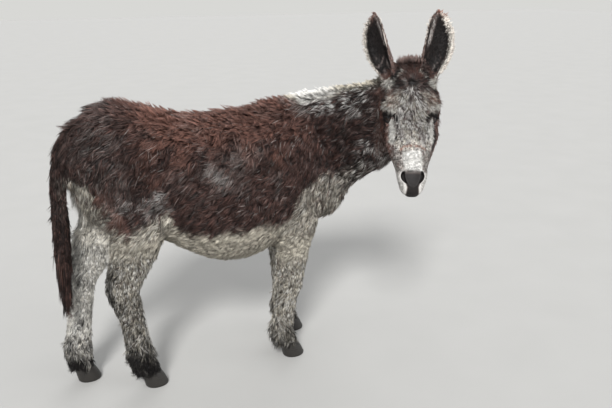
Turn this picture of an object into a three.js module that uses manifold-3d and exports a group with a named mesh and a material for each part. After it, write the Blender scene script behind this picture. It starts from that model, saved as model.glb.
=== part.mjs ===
// A standing donkey at life size, still, with its head turned to its right.
// Millimetres, +Z up. The body faces +X and +Y is its left side. The solids reach to the tips of the coat.
//
// Every limb and body section is a loft: rings of a rounded outline threaded on a smooth spine.
// The flesh is joined into one solid and then parted by thin cuts into the pieces a person would name.

import * as THREE from "three";
import { mergeVertices } from "three/addons/utils/BufferGeometryUtils.js";
import Module from "manifold-3d";

const wasm = await Module();
wasm.setup();

// ---- driving dimensions ----------------------------------------------------------------------

const CUT = 0.4; // width of the gap between two neighbouring pieces
const CORONET_Z = 64; // where hoof meets hair, above the floor
const EYE_RADIUS = 19;
const EYE_SEAT = [190, 75, -42]; // in the head's frame, the left eye; the right one mirrors it
const EAR_LENGTH = 246;
const EAR_WALL = 9; // leather and coat together

const HEAD = { poll: [641, -409, 1250], turn: -117, nod: 60, roll: 0 }; // angles in degrees

const WAY = {
  up: new THREE.Vector3(0, 0, 1),
  forward: new THREE.Vector3(1, 0, 0),
};

const COLOURS = {
  coat: 0x4a332d,
  pale_coat: 0xa39682,
  hoof: 0x2f2a28,
  ear: 0x5c4a42,
  eye: 0x160d09,
  tail: 0x33231f,
};

// ---- lofting ---------------------------------------------------------------------------------

const lerpKeys = ["up", "down", "half", "full"];

// Sections between the named ones, evenly along a smooth spine. `full` squares the outline off.
function spread(sections, rings) {
  const spine = new THREE.CatmullRomCurve3(
    sections.map((s) => new THREE.Vector3(...s.at)),
    false,
    "centripetal",
  );
  const sizes = lerpKeys.map(
    (key) => new THREE.SplineCurve(sections.map((s, i) => new THREE.Vector2(i, s[key] ?? 2.2))),
  );
  return Array.from({ length: rings }, (_, i) => {
    const t = i / (rings - 1);
    const ring = { at: spine.getPoint(t), along: spine.getTangent(t) };
    lerpKeys.forEach((key, k) => (ring[key] = sizes[k].getPoint(t).y));
    return ring;
  });
}

// A point of a rounded outline: `up` and `down` are its reach along the ring's up, `half` across it.
function outlinePoint(ring, angle, upHint) {
  const side = new THREE.Vector3().crossVectors(upHint, ring.along).normalize();
  const up = new THREE.Vector3().crossVectors(ring.along, side).normalize();
  const [c, s] = [Math.cos(angle), Math.sin(angle)];
  const across = Math.sign(c) * Math.abs(c) ** (2 / ring.full) * ring.half;
  const along = Math.sign(s) * Math.abs(s) ** (2 / ring.full) * (s > 0 ? ring.up : ring.down);
  return ring.at.clone().addScaledVector(side, across).addScaledVector(up, along);
}

// Closes a stack of point rings into one surface that faces out, with a fan at each end.
function skinOver(stack) {
  const sides = stack[0].length;
  const points = stack.flat();
  const faces = [];
  for (let r = 0; r + 1 < stack.length; r++)
    for (let i = 0; i < sides; i++) {
      const [a, b] = [r * sides + i, r * sides + ((i + 1) % sides)];
      faces.push(a, b, b + sides, a, b + sides, a + sides);
    }
  for (const end of [0, stack.length - 1]) {
    const middle = stack[end].reduce((sum, p) => sum.add(p), new THREE.Vector3()).divideScalar(sides);
    const hub = points.push(middle) - 1;
    for (let i = 0; i < sides; i++) {
      const [a, b] = [end * sides + i, end * sides + ((i + 1) % sides)];
      faces.push(...(end === 0 ? [b, a, hub] : [a, b, hub]));
    }
  }
  return new THREE.BufferGeometry().setFromPoints(points).setIndex(faces);
}

// Swellings and hollows: each moves the points near `at` away from, or towards, the ring's middle.
function swell(point, middle, lumps) {
  const out = point.clone().sub(middle).normalize();
  let rise = 0;
  for (const lump of lumps)
    for (const side of [1, -1]) {
      const centre = new THREE.Vector3(lump.at[0], lump.at[1] * side, lump.at[2]);
      rise += lump.rise * Math.exp(-point.distanceToSquared(centre) / lump.reach ** 2);
      if (lump.at[1] === 0) break;
    }
  return point.addScaledVector(out, rise);
}

// The rings stand square to the spine; `plumb` rings stand straight up however the spine climbs.
function loft(sections, { rings, sides, upHint = WAY.up, plumb = false, lumps = [] }) {
  const stack = spread(sections, rings).map((ring) =>
    Array.from({ length: sides }, (_, i) => {
      if (plumb) ring.along.setZ(0).normalize();
      const point = outlinePoint(ring, (2 * Math.PI * i) / sides, upHint);
      return swell(point, ring.at, lumps);
    }),
  );
  return skinOver(stack);
}

// ---- solids ----------------------------------------------------------------------------------

function solidOf(geometry) {
  const bare = geometry.clone();
  bare.deleteAttribute("normal");
  bare.deleteAttribute("uv");
  const merged = mergeVertices(bare, 1e-3);
  const mesh = new wasm.Mesh({
    numProp: 3,
    vertProperties: merged.attributes.position.array,
    triVerts: new Uint32Array(merged.index.array),
  });
  const solid = new wasm.Manifold(mesh);
  if (solid.volume() > 0) return solid;
  const turned = new Uint32Array(merged.index.array);
  for (let i = 0; i < turned.length; i += 3)
    [turned[i + 1], turned[i + 2]] = [turned[i + 2], turned[i + 1]];
  return new wasm.Manifold(
    new wasm.Mesh({ numProp: 3, vertProperties: merged.attributes.position.array, triVerts: turned }),
  );
}

function geometryOf(solid) {
  const mesh = solid.getMesh();
  return new THREE.BufferGeometry()
    .setAttribute("position", new THREE.BufferAttribute(new Float32Array(mesh.vertProperties), 3))
    .setIndex(new THREE.BufferAttribute(new Uint32Array(mesh.triVerts), 1));
}

const joined = (solids) => solids.reduce((all, s) => all.add(s));

// The same sections, but thicker all round, to cut a neighbour with and leave a gap.
function thicker(sections, by) {
  return sections.map(({ up, down, half, at, ...rest }, i) => {
    const past = i === 0 ? -by : i === sections.length - 1 ? by : 0;
    return { ...rest, at: [at[0] + past, at[1], at[2]], up: up + by, down: down + by, half: half + by };
  });
}

// ---- trunk, neck and tail --------------------------------------------------------------------

const TRUNK = [
  { at: [-574, 0, 925], up: 40, down: 50, half: 50 }, // end of the buttocks
  { at: [-556, 0, 912], up: 92, down: 112, half: 100 },
  { at: [-500, 0, 892], up: 178, down: 190, half: 158 }, // pin bones
  { at: [-430, 0, 880], up: 238, down: 232, half: 190 },
  { at: [-340, 0, 865], up: 268, down: 250, half: 208 }, // croup
  { at: [-240, 0, 832], up: 262, down: 250, half: 212 }, // hollow of the flank
  { at: [-140, 0, 790], up: 274, down: 270, half: 228 },
  { at: [-30, 0, 755], up: 297, down: 290, half: 244 },
  { at: [90, 0, 748], up: 315, down: 294, half: 246 }, // belly
  { at: [205, 0, 762], up: 322, down: 280, half: 224 },
  { at: [310, 0, 790], up: 312, down: 265, half: 192 }, // withers
  { at: [400, 0, 812], up: 282, down: 250, half: 170 },
  { at: [490, 0, 790], up: 225, down: 215, half: 142 }, // points of the shoulders
  { at: [554, 0, 765], up: 135, down: 150, half: 98 },
  { at: [582, 0, 755], up: 62, down: 72, half: 48 }, // breast
];

const NECK = [
  { at: [320, 8, 880], up: 215, down: 230, half: 150 },
  { at: [430, -14, 890], up: 228, down: 235, half: 138 },
  { at: [525, -80, 922], up: 222, down: 225, half: 124 },
  { at: [600, -175, 968], up: 203, down: 190, half: 112 },
  { at: [650, -265, 1022], up: 180, down: 178, half: 104 },
  { at: [668, -335, 1082], up: 145, down: 130, half: 96 },
  { at: [664, -375, 1110], up: 90, down: 90, half: 70 },
];

const TAIL = [
  { at: [-490, -8, 1040], up: 30, down: 30, half: 34 },
  { at: [-560, -10, 1010], up: 36, down: 34, half: 40 }, // dock
  { at: [-596, -12, 910], up: 31, down: 32, half: 37 },
  { at: [-602, -12, 780], up: 30, down: 30, half: 36 },
  { at: [-606, -12, 650], up: 32, down: 32, half: 38 },
  { at: [-610, -14, 520], up: 26, down: 28, half: 30 }, // switch
  { at: [-612, -14, 420], up: 17, down: 18, half: 19 },
  { at: [-612, -14, 345], up: 5, down: 5, half: 6 },
];

// ---- legs ------------------------------------------------------------------------------------

// Where each leg's joints are. Left and right differ because the donkey has one leg of each pair ahead.
const LEG_JOINTS = {
  foreleg_right: [
    [345, -100, 770],
    [304, -122, 590],
    [264, -118, 332],
    [236, -114, 128],
    [262, -114, 50],
  ],
  foreleg_left: [
    [350, 100, 770],
    [340, 118, 590],
    [346, 112, 332],
    [338, 108, 128],
    [364, 108, 50],
  ],
  hindleg_right: [
    [-385, -92, 860],
    [-332, -112, 700],
    [-412, -106, 435],
    [-366, -98, 150],
    [-336, -96, 50],
  ],
  hindleg_left: [
    [-395, 92, 860],
    [-388, 108, 700],
    [-540, 84, 432],
    [-577, 66, 150],
    [-572, 64, 50],
  ],
};

// Girth of a leg at `on`: a joint's number, plus the share of the way to the next joint.
// `up` is the reach to the front, `down` to the back.
const FORELEG_GIRTH = [
  { on: 0, up: 96, down: 104, half: 66 }, // shoulder
  { on: 1, up: 90, down: 88, half: 64 }, // elbow
  { on: 1.4, up: 70, down: 72, half: 54 },
  { on: 1.75, up: 56, down: 60, half: 46 },
  { on: 2, up: 58, down: 55, half: 47 }, // knee
  { on: 2.22, up: 46, down: 49, half: 39 },
  { on: 2.5, up: 39, down: 45, half: 34 }, // cannon
  { on: 2.8, up: 41, down: 48, half: 36 },
  { on: 3, up: 46, down: 54, half: 42 }, // fetlock
  { on: 3.55, up: 42, down: 50, half: 39 }, // pastern
  { on: 4, up: 43, down: 43, half: 40 },
];
const HINDLEG_GIRTH = [
  { on: 0, up: 150, down: 140, half: 88 }, // hip
  { on: 0.5, up: 142, down: 138, half: 96 },
  { on: 1, up: 118, down: 122, half: 88 }, // stifle
  { on: 1.4, up: 92, down: 94, half: 66 },
  { on: 1.75, up: 66, down: 74, half: 49 }, // gaskin
  { on: 2, up: 56, down: 68, half: 44 }, // hock
  { on: 2.2, up: 48, down: 54, half: 40 },
  { on: 2.5, up: 42, down: 44, half: 36 }, // cannon
  { on: 2.8, up: 43, down: 46, half: 37 },
  { on: 3, up: 48, down: 53, half: 43 }, // fetlock
  { on: 3.55, up: 43, down: 50, half: 39 }, // pastern
  { on: 4, up: 43, down: 43, half: 40 },
];

function legSections(joints, girths) {
  return girths.map(({ on, ...girth }) => {
    const before = Math.min(Math.floor(on), joints.length - 2);
    const from = new THREE.Vector3(...joints[before]);
    const to = new THREE.Vector3(...joints[before + 1]);
    return { at: from.lerp(to, on - before).toArray(), full: 2.3, ...girth };
  });
}

function legSolid(name) {
  const girths = name.startsWith("fore") ? FORELEG_GIRTH : HINDLEG_GIRTH;
  const sections = legSections(LEG_JOINTS[name], girths);
  return solidOf(loft(sections, { rings: 21, sides: 13, upHint: WAY.forward }));
}

// A narrow upright hoof: its wall slopes forward from the coronet to a flat sole.
function hoofSolid(name) {
  const [x, y] = LEG_JOINTS[name][4];
  const sections = [
    { at: [x + 26, y, 0], up: 45, down: 40, half: 40 },
    { at: [x + 24, y, 10], up: 46, down: 41, half: 41 },
    { at: [x + 14, y, 38], up: 43, down: 40, half: 39 },
    { at: [x + 5, y, CORONET_Z - CUT], up: 38, down: 38, half: 36 },
  ];
  const stack = sections.map(({ at, ...girth }) =>
    Array.from({ length: 16 }, (_, i) => {
      const ring = { ...girth, full: 2.3, at: new THREE.Vector3(...at), along: WAY.up };
      return outlinePoint(ring, (2 * Math.PI * i) / 16, WAY.forward);
    }),
  );
  return solidOf(skinOver(stack));
}

// ---- head ------------------------------------------------------------------------------------

// In the head's own frame: +X from the poll to the lips, +Z out of the forehead, +Y its left.
const SKULL = [
  { at: [-42, 0, -92], up: 48, down: 46, half: 46 },
  { at: [-18, 0, -88], up: 82, down: 84, half: 76 }, // poll
  { at: [35, 0, -84], up: 98, down: 124, half: 96, full: 2.3 },
  { at: [95, 0, -80], up: 101, down: 146, half: 115, full: 2.4 }, // jaw's angle
  { at: [150, 0, -77], up: 96, down: 144, half: 119, full: 2.4 }, // brow
  { at: [205, 0, -77], up: 87, down: 122, half: 108, full: 2.3 },
  { at: [262, 0, -75], up: 75, down: 94, half: 99, full: 2.2 }, // cheekbone's end
  { at: [318, 0, -73], up: 65, down: 74, half: 82, full: 2.1 },
  { at: [366, 0, -71], up: 57, down: 63, half: 62, full: 2.1 },
  { at: [410, 0, -72], up: 52, down: 62, half: 53, full: 2.3 }, // nostrils
  { at: [445, 0, -78], up: 49, down: 57, half: 45, full: 2.4 },
  { at: [467, 0, -83], up: 39, down: 49, half: 34, full: 2.4 },
  { at: [480, 0, -87], up: 20, down: 28, half: 18 }, // lips
];
const FACE_LUMPS = [
  { at: [EYE_SEAT[0] + 6, 104, -34], reach: 28, rise: -22 }, // eye socket
  { at: [150, 94, -10], reach: 30, rise: 12 }, // brow
  { at: [246, 84, -54], reach: 40, rise: 6 }, // facial crest
  { at: [110, 100, -150], reach: 60, rise: 6 }, // jowl
  { at: [285, 60, -120], reach: 42, rise: -8 }, // hollow between cheek and bars
  { at: [412, 46, -52], reach: 20, rise: 6 }, // wing of the nostril
  { at: [398, 0, -140], reach: 26, rise: 8 }, // chin
];

function inHeadFrame(object) {
  const radians = [HEAD.roll, HEAD.nod, HEAD.turn].map(THREE.MathUtils.degToRad);
  object.rotation.set(...radians, "ZYX");
  object.position.set(...HEAD.poll);
  object.updateMatrix();
  return object.matrix;
}
const HEAD_MATRIX = inHeadFrame(new THREE.Object3D());

function headSolid(grow) {
  const geometry = loft(thicker(SKULL, grow), { rings: 26, sides: 26, lumps: FACE_LUMPS });
  return solidOf(geometry.applyMatrix4(HEAD_MATRIX));
}

function eyeGeometry(side, grow) {
  const ball = new THREE.SphereGeometry(EYE_RADIUS + grow, 14, 9);
  const [x, y, z] = EYE_SEAT;
  return ball.translate(x, y * side, z).applyMatrix4(HEAD_MATRIX);
}

// ---- ears ------------------------------------------------------------------------------------

// One ear: a leaf rolled into a trough that opens the way the face looks.
// `reach` is half its width, `depth` how deep the trough is, `wrap` how far round it closes, in degrees.
const EAR_RINGS = [
  { rise: -0.16, reach: 33, depth: 28, wrap: 280 },
  { rise: 0, reach: 37, depth: 32, wrap: 262 },
  { rise: 0.14, reach: 43, depth: 34, wrap: 232 },
  { rise: 0.3, reach: 49, depth: 34, wrap: 208 },
  { rise: 0.46, reach: 50, depth: 30, wrap: 196 },
  { rise: 0.62, reach: 47, depth: 26, wrap: 190 },
  { rise: 0.76, reach: 39, depth: 21, wrap: 186 },
  { rise: 0.88, reach: 24, depth: 15, wrap: 184 },
  { rise: 0.96, reach: 13, depth: 9, wrap: 182 },
  { rise: 1, reach: 6, depth: 6, wrap: 180 },
];
// `lean` outwards and `back`, `spin` turns the opening outwards, all in degrees; `bow` bends it, in mm.
const EARS = {
  ear_right: { side: -1, root: [24, -78, -36], lean: 15, back: 4, spin: 34, bow: 26, wide: 0.96 },
  ear_left: { side: 1, root: [24, 65, -36], lean: 7, back: 4, spin: 8, bow: 23, wide: 1.08 },
};

function earArc(ring, inset, steps) {
  const wrap = THREE.MathUtils.degToRad(ring.wrap);
  const [across, deep] = [ring.reach, ring.depth].map((r) => Math.max(r - inset, 0.4 * r));
  return Array.from({ length: steps }, (_, i) => {
    const angle = -wrap / 2 + (wrap * i) / (steps - 1);
    return new THREE.Vector3(-Math.cos(angle) * deep, Math.sin(angle) * across, 0);
  });
}

function earGeometry(name) {
  const { side, root, lean, back, spin, bow, wide } = EARS[name];
  const steps = 8;
  const stack = EAR_RINGS.map((ring) => {
    const wall = Math.min(EAR_WALL, 0.7 * ring.depth);
    const points = [...earArc(ring, 0, steps), ...earArc(ring, wall, steps).reverse()];
    const bend = side * bow * Math.sin(Math.PI * Math.max(ring.rise, 0));
    for (const point of points) point.set(point.x, point.y * wide + bend, ring.rise * EAR_LENGTH);
    return points;
  });
  const seat = new THREE.Vector3(...root).applyMatrix4(HEAD_MATRIX);
  return closeTrough(stack, steps)
    .rotateZ(THREE.MathUtils.degToRad(side * spin))
    .rotateX(THREE.MathUtils.degToRad(-side * lean))
    .rotateY(THREE.MathUtils.degToRad(-back))
    .rotateZ(THREE.MathUtils.degToRad(HEAD.turn))
    .translate(seat.x, seat.y, seat.z);
}

// Joins arcs of a trough, whose points run along the outside and back along the inside.
function closeTrough(stack, steps) {
  const count = 2 * steps;
  const faces = [];
  for (let r = 0; r + 1 < stack.length; r++)
    for (let i = 0; i < count; i++) {
      const [a, b] = [r * count + i, r * count + ((i + 1) % count)];
      faces.push(a, b, b + count, a, b + count, a + count);
    }
  for (const [ring, turn] of [[0, false], [stack.length - 1, true]])
    for (let i = 0; i + 1 < steps; i++) {
      const base = ring * count;
      const quad = [base + i, base + i + 1, base + count - 2 - i, base + count - 1 - i];
      if (turn) quad.reverse();
      faces.push(quad[0], quad[2], quad[1], quad[0], quad[3], quad[2]);
    }
  return new THREE.BufferGeometry().setFromPoints(stack.flat()).setIndex(faces);
}

// ---- parting the whole -----------------------------------------------------------------------

// A thin blade, `size` across, at `at` and facing `normal`. Each frees the pieces on its two sides.
function blade({ at, normal, size }) {
  const slab = new THREE.BoxGeometry(...size, CUT);
  const turn = new THREE.Quaternion().setFromUnitVectors(WAY.up, new THREE.Vector3(...normal).normalize());
  return solidOf(slab.applyQuaternion(turn).translate(...at));
}

const BLADES = [
  { at: [448, -30, 900], normal: [0.8, -0.22, 0.56], size: [620, 520] }, // neck from trunk
  { at: [640, -236, 1000], normal: [-0.17, -0.98, 0.08], size: [380, 540] }, // head from neck
  { at: [290, -130, 466], normal: [0, 0, 1], size: [260, 180] }, // forelegs from trunk
  { at: [342, 125, 490], normal: [0, 0, 1], size: [260, 180] },
  { at: [-345, -115, 592], normal: [0.1, 0, 1], size: [300, 210] }, // hind legs from trunk
  { at: [-430, 110, 592], normal: [0.1, 0, 1], size: [300, 190] },
];
const UNDERFOOT = solidOf(new THREE.BoxGeometry(2000, 2000, 2 * CORONET_Z)); // where the hooves go

// A point well inside each piece of flesh tells which is which once they are apart.
const INSIDE = {
  trunk: [0, 0, 780],
  neck: [560, -110, 960],
  head: [600, -480, 1080],
  foreleg_right: [264, -118, 332],
  foreleg_left: [346, 112, 332],
  hindleg_right: [-412, -106, 435],
  hindleg_left: [-540, 84, 432],
};

const limbs = Object.keys(LEG_JOINTS);
const trunkSolid = (grow) => solidOf(loft(thicker(TRUNK, grow), { rings: 30, sides: 26, plumb: true }));
const neck = solidOf(loft(NECK, { rings: 12, sides: 22, plumb: true }));
const whole = joined([trunkSolid(0), neck, headSolid(0), ...limbs.map(legSolid)]);
const cutters = [...BLADES.map(blade), UNDERFOOT, ...[1, -1].map((side) => solidOf(eyeGeometry(side, CUT)))];
const pieces = whole.subtract(joined(cutters)).decompose();

function middleOf(solid) {
  const { min, max } = solid.boundingBox();
  return new THREE.Vector3(...min).add(new THREE.Vector3(...max)).divideScalar(2);
}

const donkey = new THREE.Group();
function addMesh(name, geometry, colour, roughness = 0.9) {
  const material = new THREE.MeshStandardMaterial({ color: colour, roughness, metalness: 0 });
  const mesh = new THREE.Mesh(geometry, material);
  mesh.name = name;
  donkey.add(mesh);
}

for (const [name, point] of Object.entries(INSIDE)) {
  const target = new THREE.Vector3(...point);
  const gap = (solid) => middleOf(solid).distanceTo(target);
  pieces.sort((a, b) => gap(a) - gap(b));
  addMesh(name, geometryOf(pieces.shift()), COLOURS.coat);
}

for (const name of limbs) addMesh(name.replace("leg", "hoof"), geometryOf(hoofSolid(name)), COLOURS.hoof);
for (const name of Object.keys(EARS))
  addMesh(name, geometryOf(solidOf(earGeometry(name)).subtract(headSolid(CUT))), COLOURS.ear);
addMesh("eye_left", eyeGeometry(1, 0), COLOURS.eye);
addMesh("eye_right", eyeGeometry(-1, 0), COLOURS.eye);
const tail = solidOf(loft(TAIL, { rings: 18, sides: 12, upHint: WAY.forward }));
addMesh("tail", geometryOf(tail.subtract(trunkSolid(CUT))), COLOURS.tail);

// The origin is on the floor, under the middle of the whole animal.
const middle = new THREE.Box3().setFromObject(donkey, true).getCenter(new THREE.Vector3());
donkey.position.set(-middle.x, -middle.y, 0);

export default donkey;
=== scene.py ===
# %% [markdown]
# # A shaggy donkey at life size
#
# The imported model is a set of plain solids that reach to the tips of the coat. Here they are dressed.
# One skin takes the place of all the flesh, a coat of many small solid tufts grows on it, and hooves,
# eyes and long hair are made as pieces of their own. Everything is in metres, with the floor at height 0.

import math
from types import SimpleNamespace

import bmesh
import bpy
import numpy as np
from mathutils import Euler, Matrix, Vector
from mathutils.bvhtree import BVHTree
from mathutils.kdtree import KDTree


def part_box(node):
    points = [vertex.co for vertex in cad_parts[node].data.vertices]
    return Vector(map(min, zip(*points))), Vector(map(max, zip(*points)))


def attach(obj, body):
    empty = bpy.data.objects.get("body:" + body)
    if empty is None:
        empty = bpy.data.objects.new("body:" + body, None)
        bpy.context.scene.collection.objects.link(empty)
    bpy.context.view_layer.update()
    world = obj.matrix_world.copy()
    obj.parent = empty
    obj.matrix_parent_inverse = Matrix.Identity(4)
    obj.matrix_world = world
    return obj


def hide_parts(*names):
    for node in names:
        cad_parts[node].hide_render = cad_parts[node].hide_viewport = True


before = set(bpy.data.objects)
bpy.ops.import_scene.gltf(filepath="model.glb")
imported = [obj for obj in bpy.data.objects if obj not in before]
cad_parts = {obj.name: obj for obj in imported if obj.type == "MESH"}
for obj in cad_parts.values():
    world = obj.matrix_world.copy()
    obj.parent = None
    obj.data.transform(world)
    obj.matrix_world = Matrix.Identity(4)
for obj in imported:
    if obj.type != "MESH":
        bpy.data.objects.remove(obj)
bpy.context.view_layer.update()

# %% [markdown]
# ## Where things are
#
# The solids were laid out with the middle of the body at x = 0 and y = 0, and then moved so that the
# origin is under the middle of the whole animal. The right fore hoof tells by how much. All the places
# below are in that first layout, which is easier to think in: the body faces +X and +Y is its left.
# The head has a frame of its own, with the poll as origin, X down the face and Z out of the forehead.

# %% Body layout and the head's own frame
FORE_HOOF_CORNER = np.array([0.229, -0.155, 0.0])
shift = np.array(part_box("forehoof_right")[0]) - FORE_HOOF_CORNER
shift[2] = 0.0

POLL = np.array([0.641, -0.409, 1.250])
HEAD_TURN = math.radians(-117)
HEAD_NOD = math.radians(60)
head_axes = np.array(Euler((0.0, HEAD_NOD, HEAD_TURN), "XYZ").to_matrix())


def in_body(points):
    return points - shift


def in_head(points):
    return (points - shift - POLL) @ head_axes


def from_head(points):
    return np.asarray(points) @ head_axes.T + POLL + shift


print("body layout is moved by", shift.round(4))

# %% [markdown]
# ## Camera
#
# A donkey is best seen from a little above and behind the shoulder it looks over. The camera stands
# about eye height of a person, close enough for the head to look large. It is made first.

# %% Camera
CAMERA_PLACE = (-0.894, -2.666, 1.553)
CAMERA_HEADING = math.radians(26.0)
CAMERA_PITCH = 0.301
LENS_MM = 42.35
SENSOR_MM = 36.0

camera_data = bpy.data.cameras.new("camera")
camera_data.lens = LENS_MM
camera_data.sensor_width = SENSOR_MM
camera = bpy.data.objects.new("camera", camera_data)
camera.location = Vector(np.array(CAMERA_PLACE) + shift)
camera.rotation_euler = (math.pi / 2 - CAMERA_PITCH, 0.0, -CAMERA_HEADING)
bpy.context.scene.collection.objects.link(camera)
bpy.context.scene.camera = camera
bpy.context.scene.view_settings.view_transform = "Standard"
print("camera at", [round(value, 3) for value in camera.location], "with a lens of", LENS_MM, "mm")

# %% [markdown]
# ## Helpers for meshes as arrays
#
# The coat has a great many small pieces, so all shapes here are made with arrays of numbers and handed
# to Blender once. These helpers turn arrays into objects, and read objects back as arrays. A ramp is
# the one tool for every soft border: between two values it climbs smoothly from 0 to 1.

# %% Directions and soft steps


def unit(vectors):
    size = np.linalg.norm(vectors, axis=-1, keepdims=True)
    return vectors / np.maximum(size, 1e-9)


def ramp(values, start, end):
    """0 before start, 1 after end, smooth between. start may be the larger one."""
    t = np.clip((values - start) / (end - start), 0.0, 1.0)
    return t * t * (3.0 - 2.0 * t)


print("a ramp passes", ramp(np.array([0.25, 0.5, 0.75]), 0.0, 1.0))

# %% Arrays to objects


def mesh_from(name, points, triangles, smooth=True):
    mesh = bpy.data.meshes.new(name)
    mesh.vertices.add(len(points))
    mesh.vertices.foreach_set("co", points.astype(np.float32).ravel())
    mesh.loops.add(3 * len(triangles))
    mesh.loops.foreach_set("vertex_index", triangles.astype(np.int32).ravel())
    mesh.polygons.add(len(triangles))
    mesh.polygons.foreach_set("loop_start", np.arange(0, 3 * len(triangles), 3, dtype=np.int32))
    mesh.update(calc_edges=True)
    if smooth:
        mesh.shade_smooth()
    return mesh


def object_from(name, mesh, material):
    piece = bpy.data.objects.new(name, mesh)
    bpy.context.scene.collection.objects.link(piece)
    piece.data.materials.append(material)
    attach(piece, "root")
    return piece


def give(mesh, name, values):
    """Keeps one number per vertex on the mesh, under a name that materials can read."""
    layer = mesh.attributes.new(name, "FLOAT", "POINT")
    layer.data.foreach_set("value", np.asarray(values, dtype=np.float32))


print("meshes before any is made here:", len(bpy.data.meshes))

# %% Objects back to arrays


def vertex_places(mesh):
    places = np.empty(3 * len(mesh.vertices), dtype=np.float32)
    mesh.vertices.foreach_get("co", places)
    return places.reshape(-1, 3).astype(float)


def vertex_normals(mesh):
    normals = np.empty(3 * len(mesh.vertices), dtype=np.float32)
    mesh.vertex_normals.foreach_get("vector", normals)
    return normals.reshape(-1, 3).astype(float)


print("the trunk's solid has", len(vertex_places(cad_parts["trunk"].data)), "points")

# %% [markdown]
# ## Soft random hills
#
# Nothing on an animal is quite even. A noise texture would give the unevenness only inside a material,
# but here shapes need it too. A few crossing waves, each with a random direction, length and phase from
# a fixed seed, add up to soft hills that are the same on every run.

# %% Ripples
WAVES = 7


def ripples(points, size, seed):
    """Soft random hills between about -1 and 1, each about `size` metres across."""
    local = np.random.default_rng(seed)
    total = np.zeros(len(points))
    for _ in range(WAVES):
        direction = unit(local.normal(size=3)) * local.uniform(0.7, 1.5) * math.pi / size
        total += np.sin(points @ direction + local.uniform(0, 2 * math.pi))
    return total / 3.0


print("one place on hills of 5 cm:", ripples(np.zeros((1, 3)), 0.05, 1).round(2))

# %% [markdown]
# ## One skin for all the flesh
#
# The flesh solids have thin gaps between them. Each is swollen by less than a millimetre so that they
# touch, then a voxel remesh melts them into one closed surface. The eyeballs are melted in too, so that
# the skin passes over them and lids can be shaped from it. Sculpting by hand would do the same job, but
# a remesh keeps to the solids exactly.

# %% Gather the flesh solids
FLESH = (
    "trunk", "neck", "head", "tail", "ear_right", "ear_left",
    "foreleg_right", "foreleg_left", "hindleg_right", "hindleg_left",
)
SWELL = 0.0006

all_points, all_faces, face_names = [], [], []
for name in FLESH + ("eye_right", "eye_left"):
    shape = bmesh.new()
    shape.from_mesh(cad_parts[name].data)
    bmesh.ops.remove_doubles(shape, verts=shape.verts, dist=1e-5)
    shape.normal_update()
    start = len(all_points)
    all_points += [v.co + v.normal * SWELL for v in shape.verts]
    all_faces += [[start + v.index for v in f.verts] for f in shape.faces]
    face_names += [name] * len(shape.faces)
    shape.free()
flesh_tree = BVHTree.FromPolygons(all_points, all_faces)
print("flesh has", len(all_faces), "faces")

# %% Melt them into one surface
SKIN_VOXEL = 0.0052

lump_mesh = bpy.data.meshes.new("flesh_lump")
lump_mesh.from_pydata(all_points, [], all_faces)
lump = bpy.data.objects.new("flesh_lump", lump_mesh)
bpy.context.scene.collection.objects.link(lump)
melt = lump.modifiers.new("melt", "REMESH")
melt.mode = "VOXEL"
melt.voxel_size = SKIN_VOXEL


def as_evaluated(item):
    bpy.context.view_layer.update()
    return bpy.data.meshes.new_from_object(item.evaluated_get(bpy.context.evaluated_depsgraph_get()))


lump.data = as_evaluated(lump)
lump.modifiers.clear()
print("melted skin has", len(lump.data.vertices), "points")

# %% [markdown]
# The flanks are plain curves under a deep coat, so most of the points there can go. A decimate modifier
# thins the skin, and a vertex group tells it to take few points from the face and the legs.

# %% Thin the body
PLAIN_STEPS = 10
KEPT_PART = 0.30

melted = vertex_places(lump.data)
far_from_face = 1.0 - ramp(np.linalg.norm(in_head(melted) - [0.2, 0, -0.08], axis=1), 0.42, 0.34)
far_from_face *= 0.45 + 0.55 * ramp(melted[:, 2], 0.50, 0.75)
plain = lump.vertex_groups.new(name="plain")
for step in range(1, PLAIN_STEPS + 1):
    chosen = np.flatnonzero(np.round(far_from_face * PLAIN_STEPS) == step)
    plain.add(chosen.tolist(), step / PLAIN_STEPS, "REPLACE")
thin = lump.modifiers.new("thin", "DECIMATE")
thin.ratio = KEPT_PART
thin.vertex_group = "plain"
skin_mesh = as_evaluated(lump)
bpy.data.objects.remove(lump)
print("thinned skin has", len(skin_mesh.vertices), "points")

# %% [markdown]
# Lids, nostrils and lips are only millimetres wide, so the face needs a finer skin. Finer voxels for the
# whole animal would cost many times the points. So edges are halved only here: once round the eyes and
# on the muzzle, and once more close to the eyes and the nostrils.

# %% Cut the face finer
EYE_SEAT = np.array([0.190, 0.075, -0.042])
EYE_RADIUS = 0.019
NOSTRIL = np.array([0.420, 0.034, -0.031])


def refine(mesh, chosen):
    """Halves every edge whose two ends are chosen."""
    shape = bmesh.new()
    shape.from_mesh(mesh)
    shape.verts.ensure_lookup_table()
    edges = [e for e in shape.edges if chosen[e.verts[0].index] and chosen[e.verts[1].index]]
    bmesh.ops.subdivide_edges(shape, edges=edges, cuts=1, use_grid_fill=True)
    bmesh.ops.triangulate(shape, faces=[f for f in shape.faces if len(f.verts) > 4])
    shape.to_mesh(mesh)
    shape.free()


def both_sides(heads):
    """Places in the head's frame, with the right half of the face laid over the left."""
    return np.abs(heads) * [0, 1, 0] + heads * [1, 0, 1]


def near_eyes(heads, reach):
    near = np.zeros(len(heads), dtype=bool)
    for side in (1, -1):
        near |= np.linalg.norm(heads - EYE_SEAT * [1, side, 1], axis=1) < reach
    return near


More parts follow.
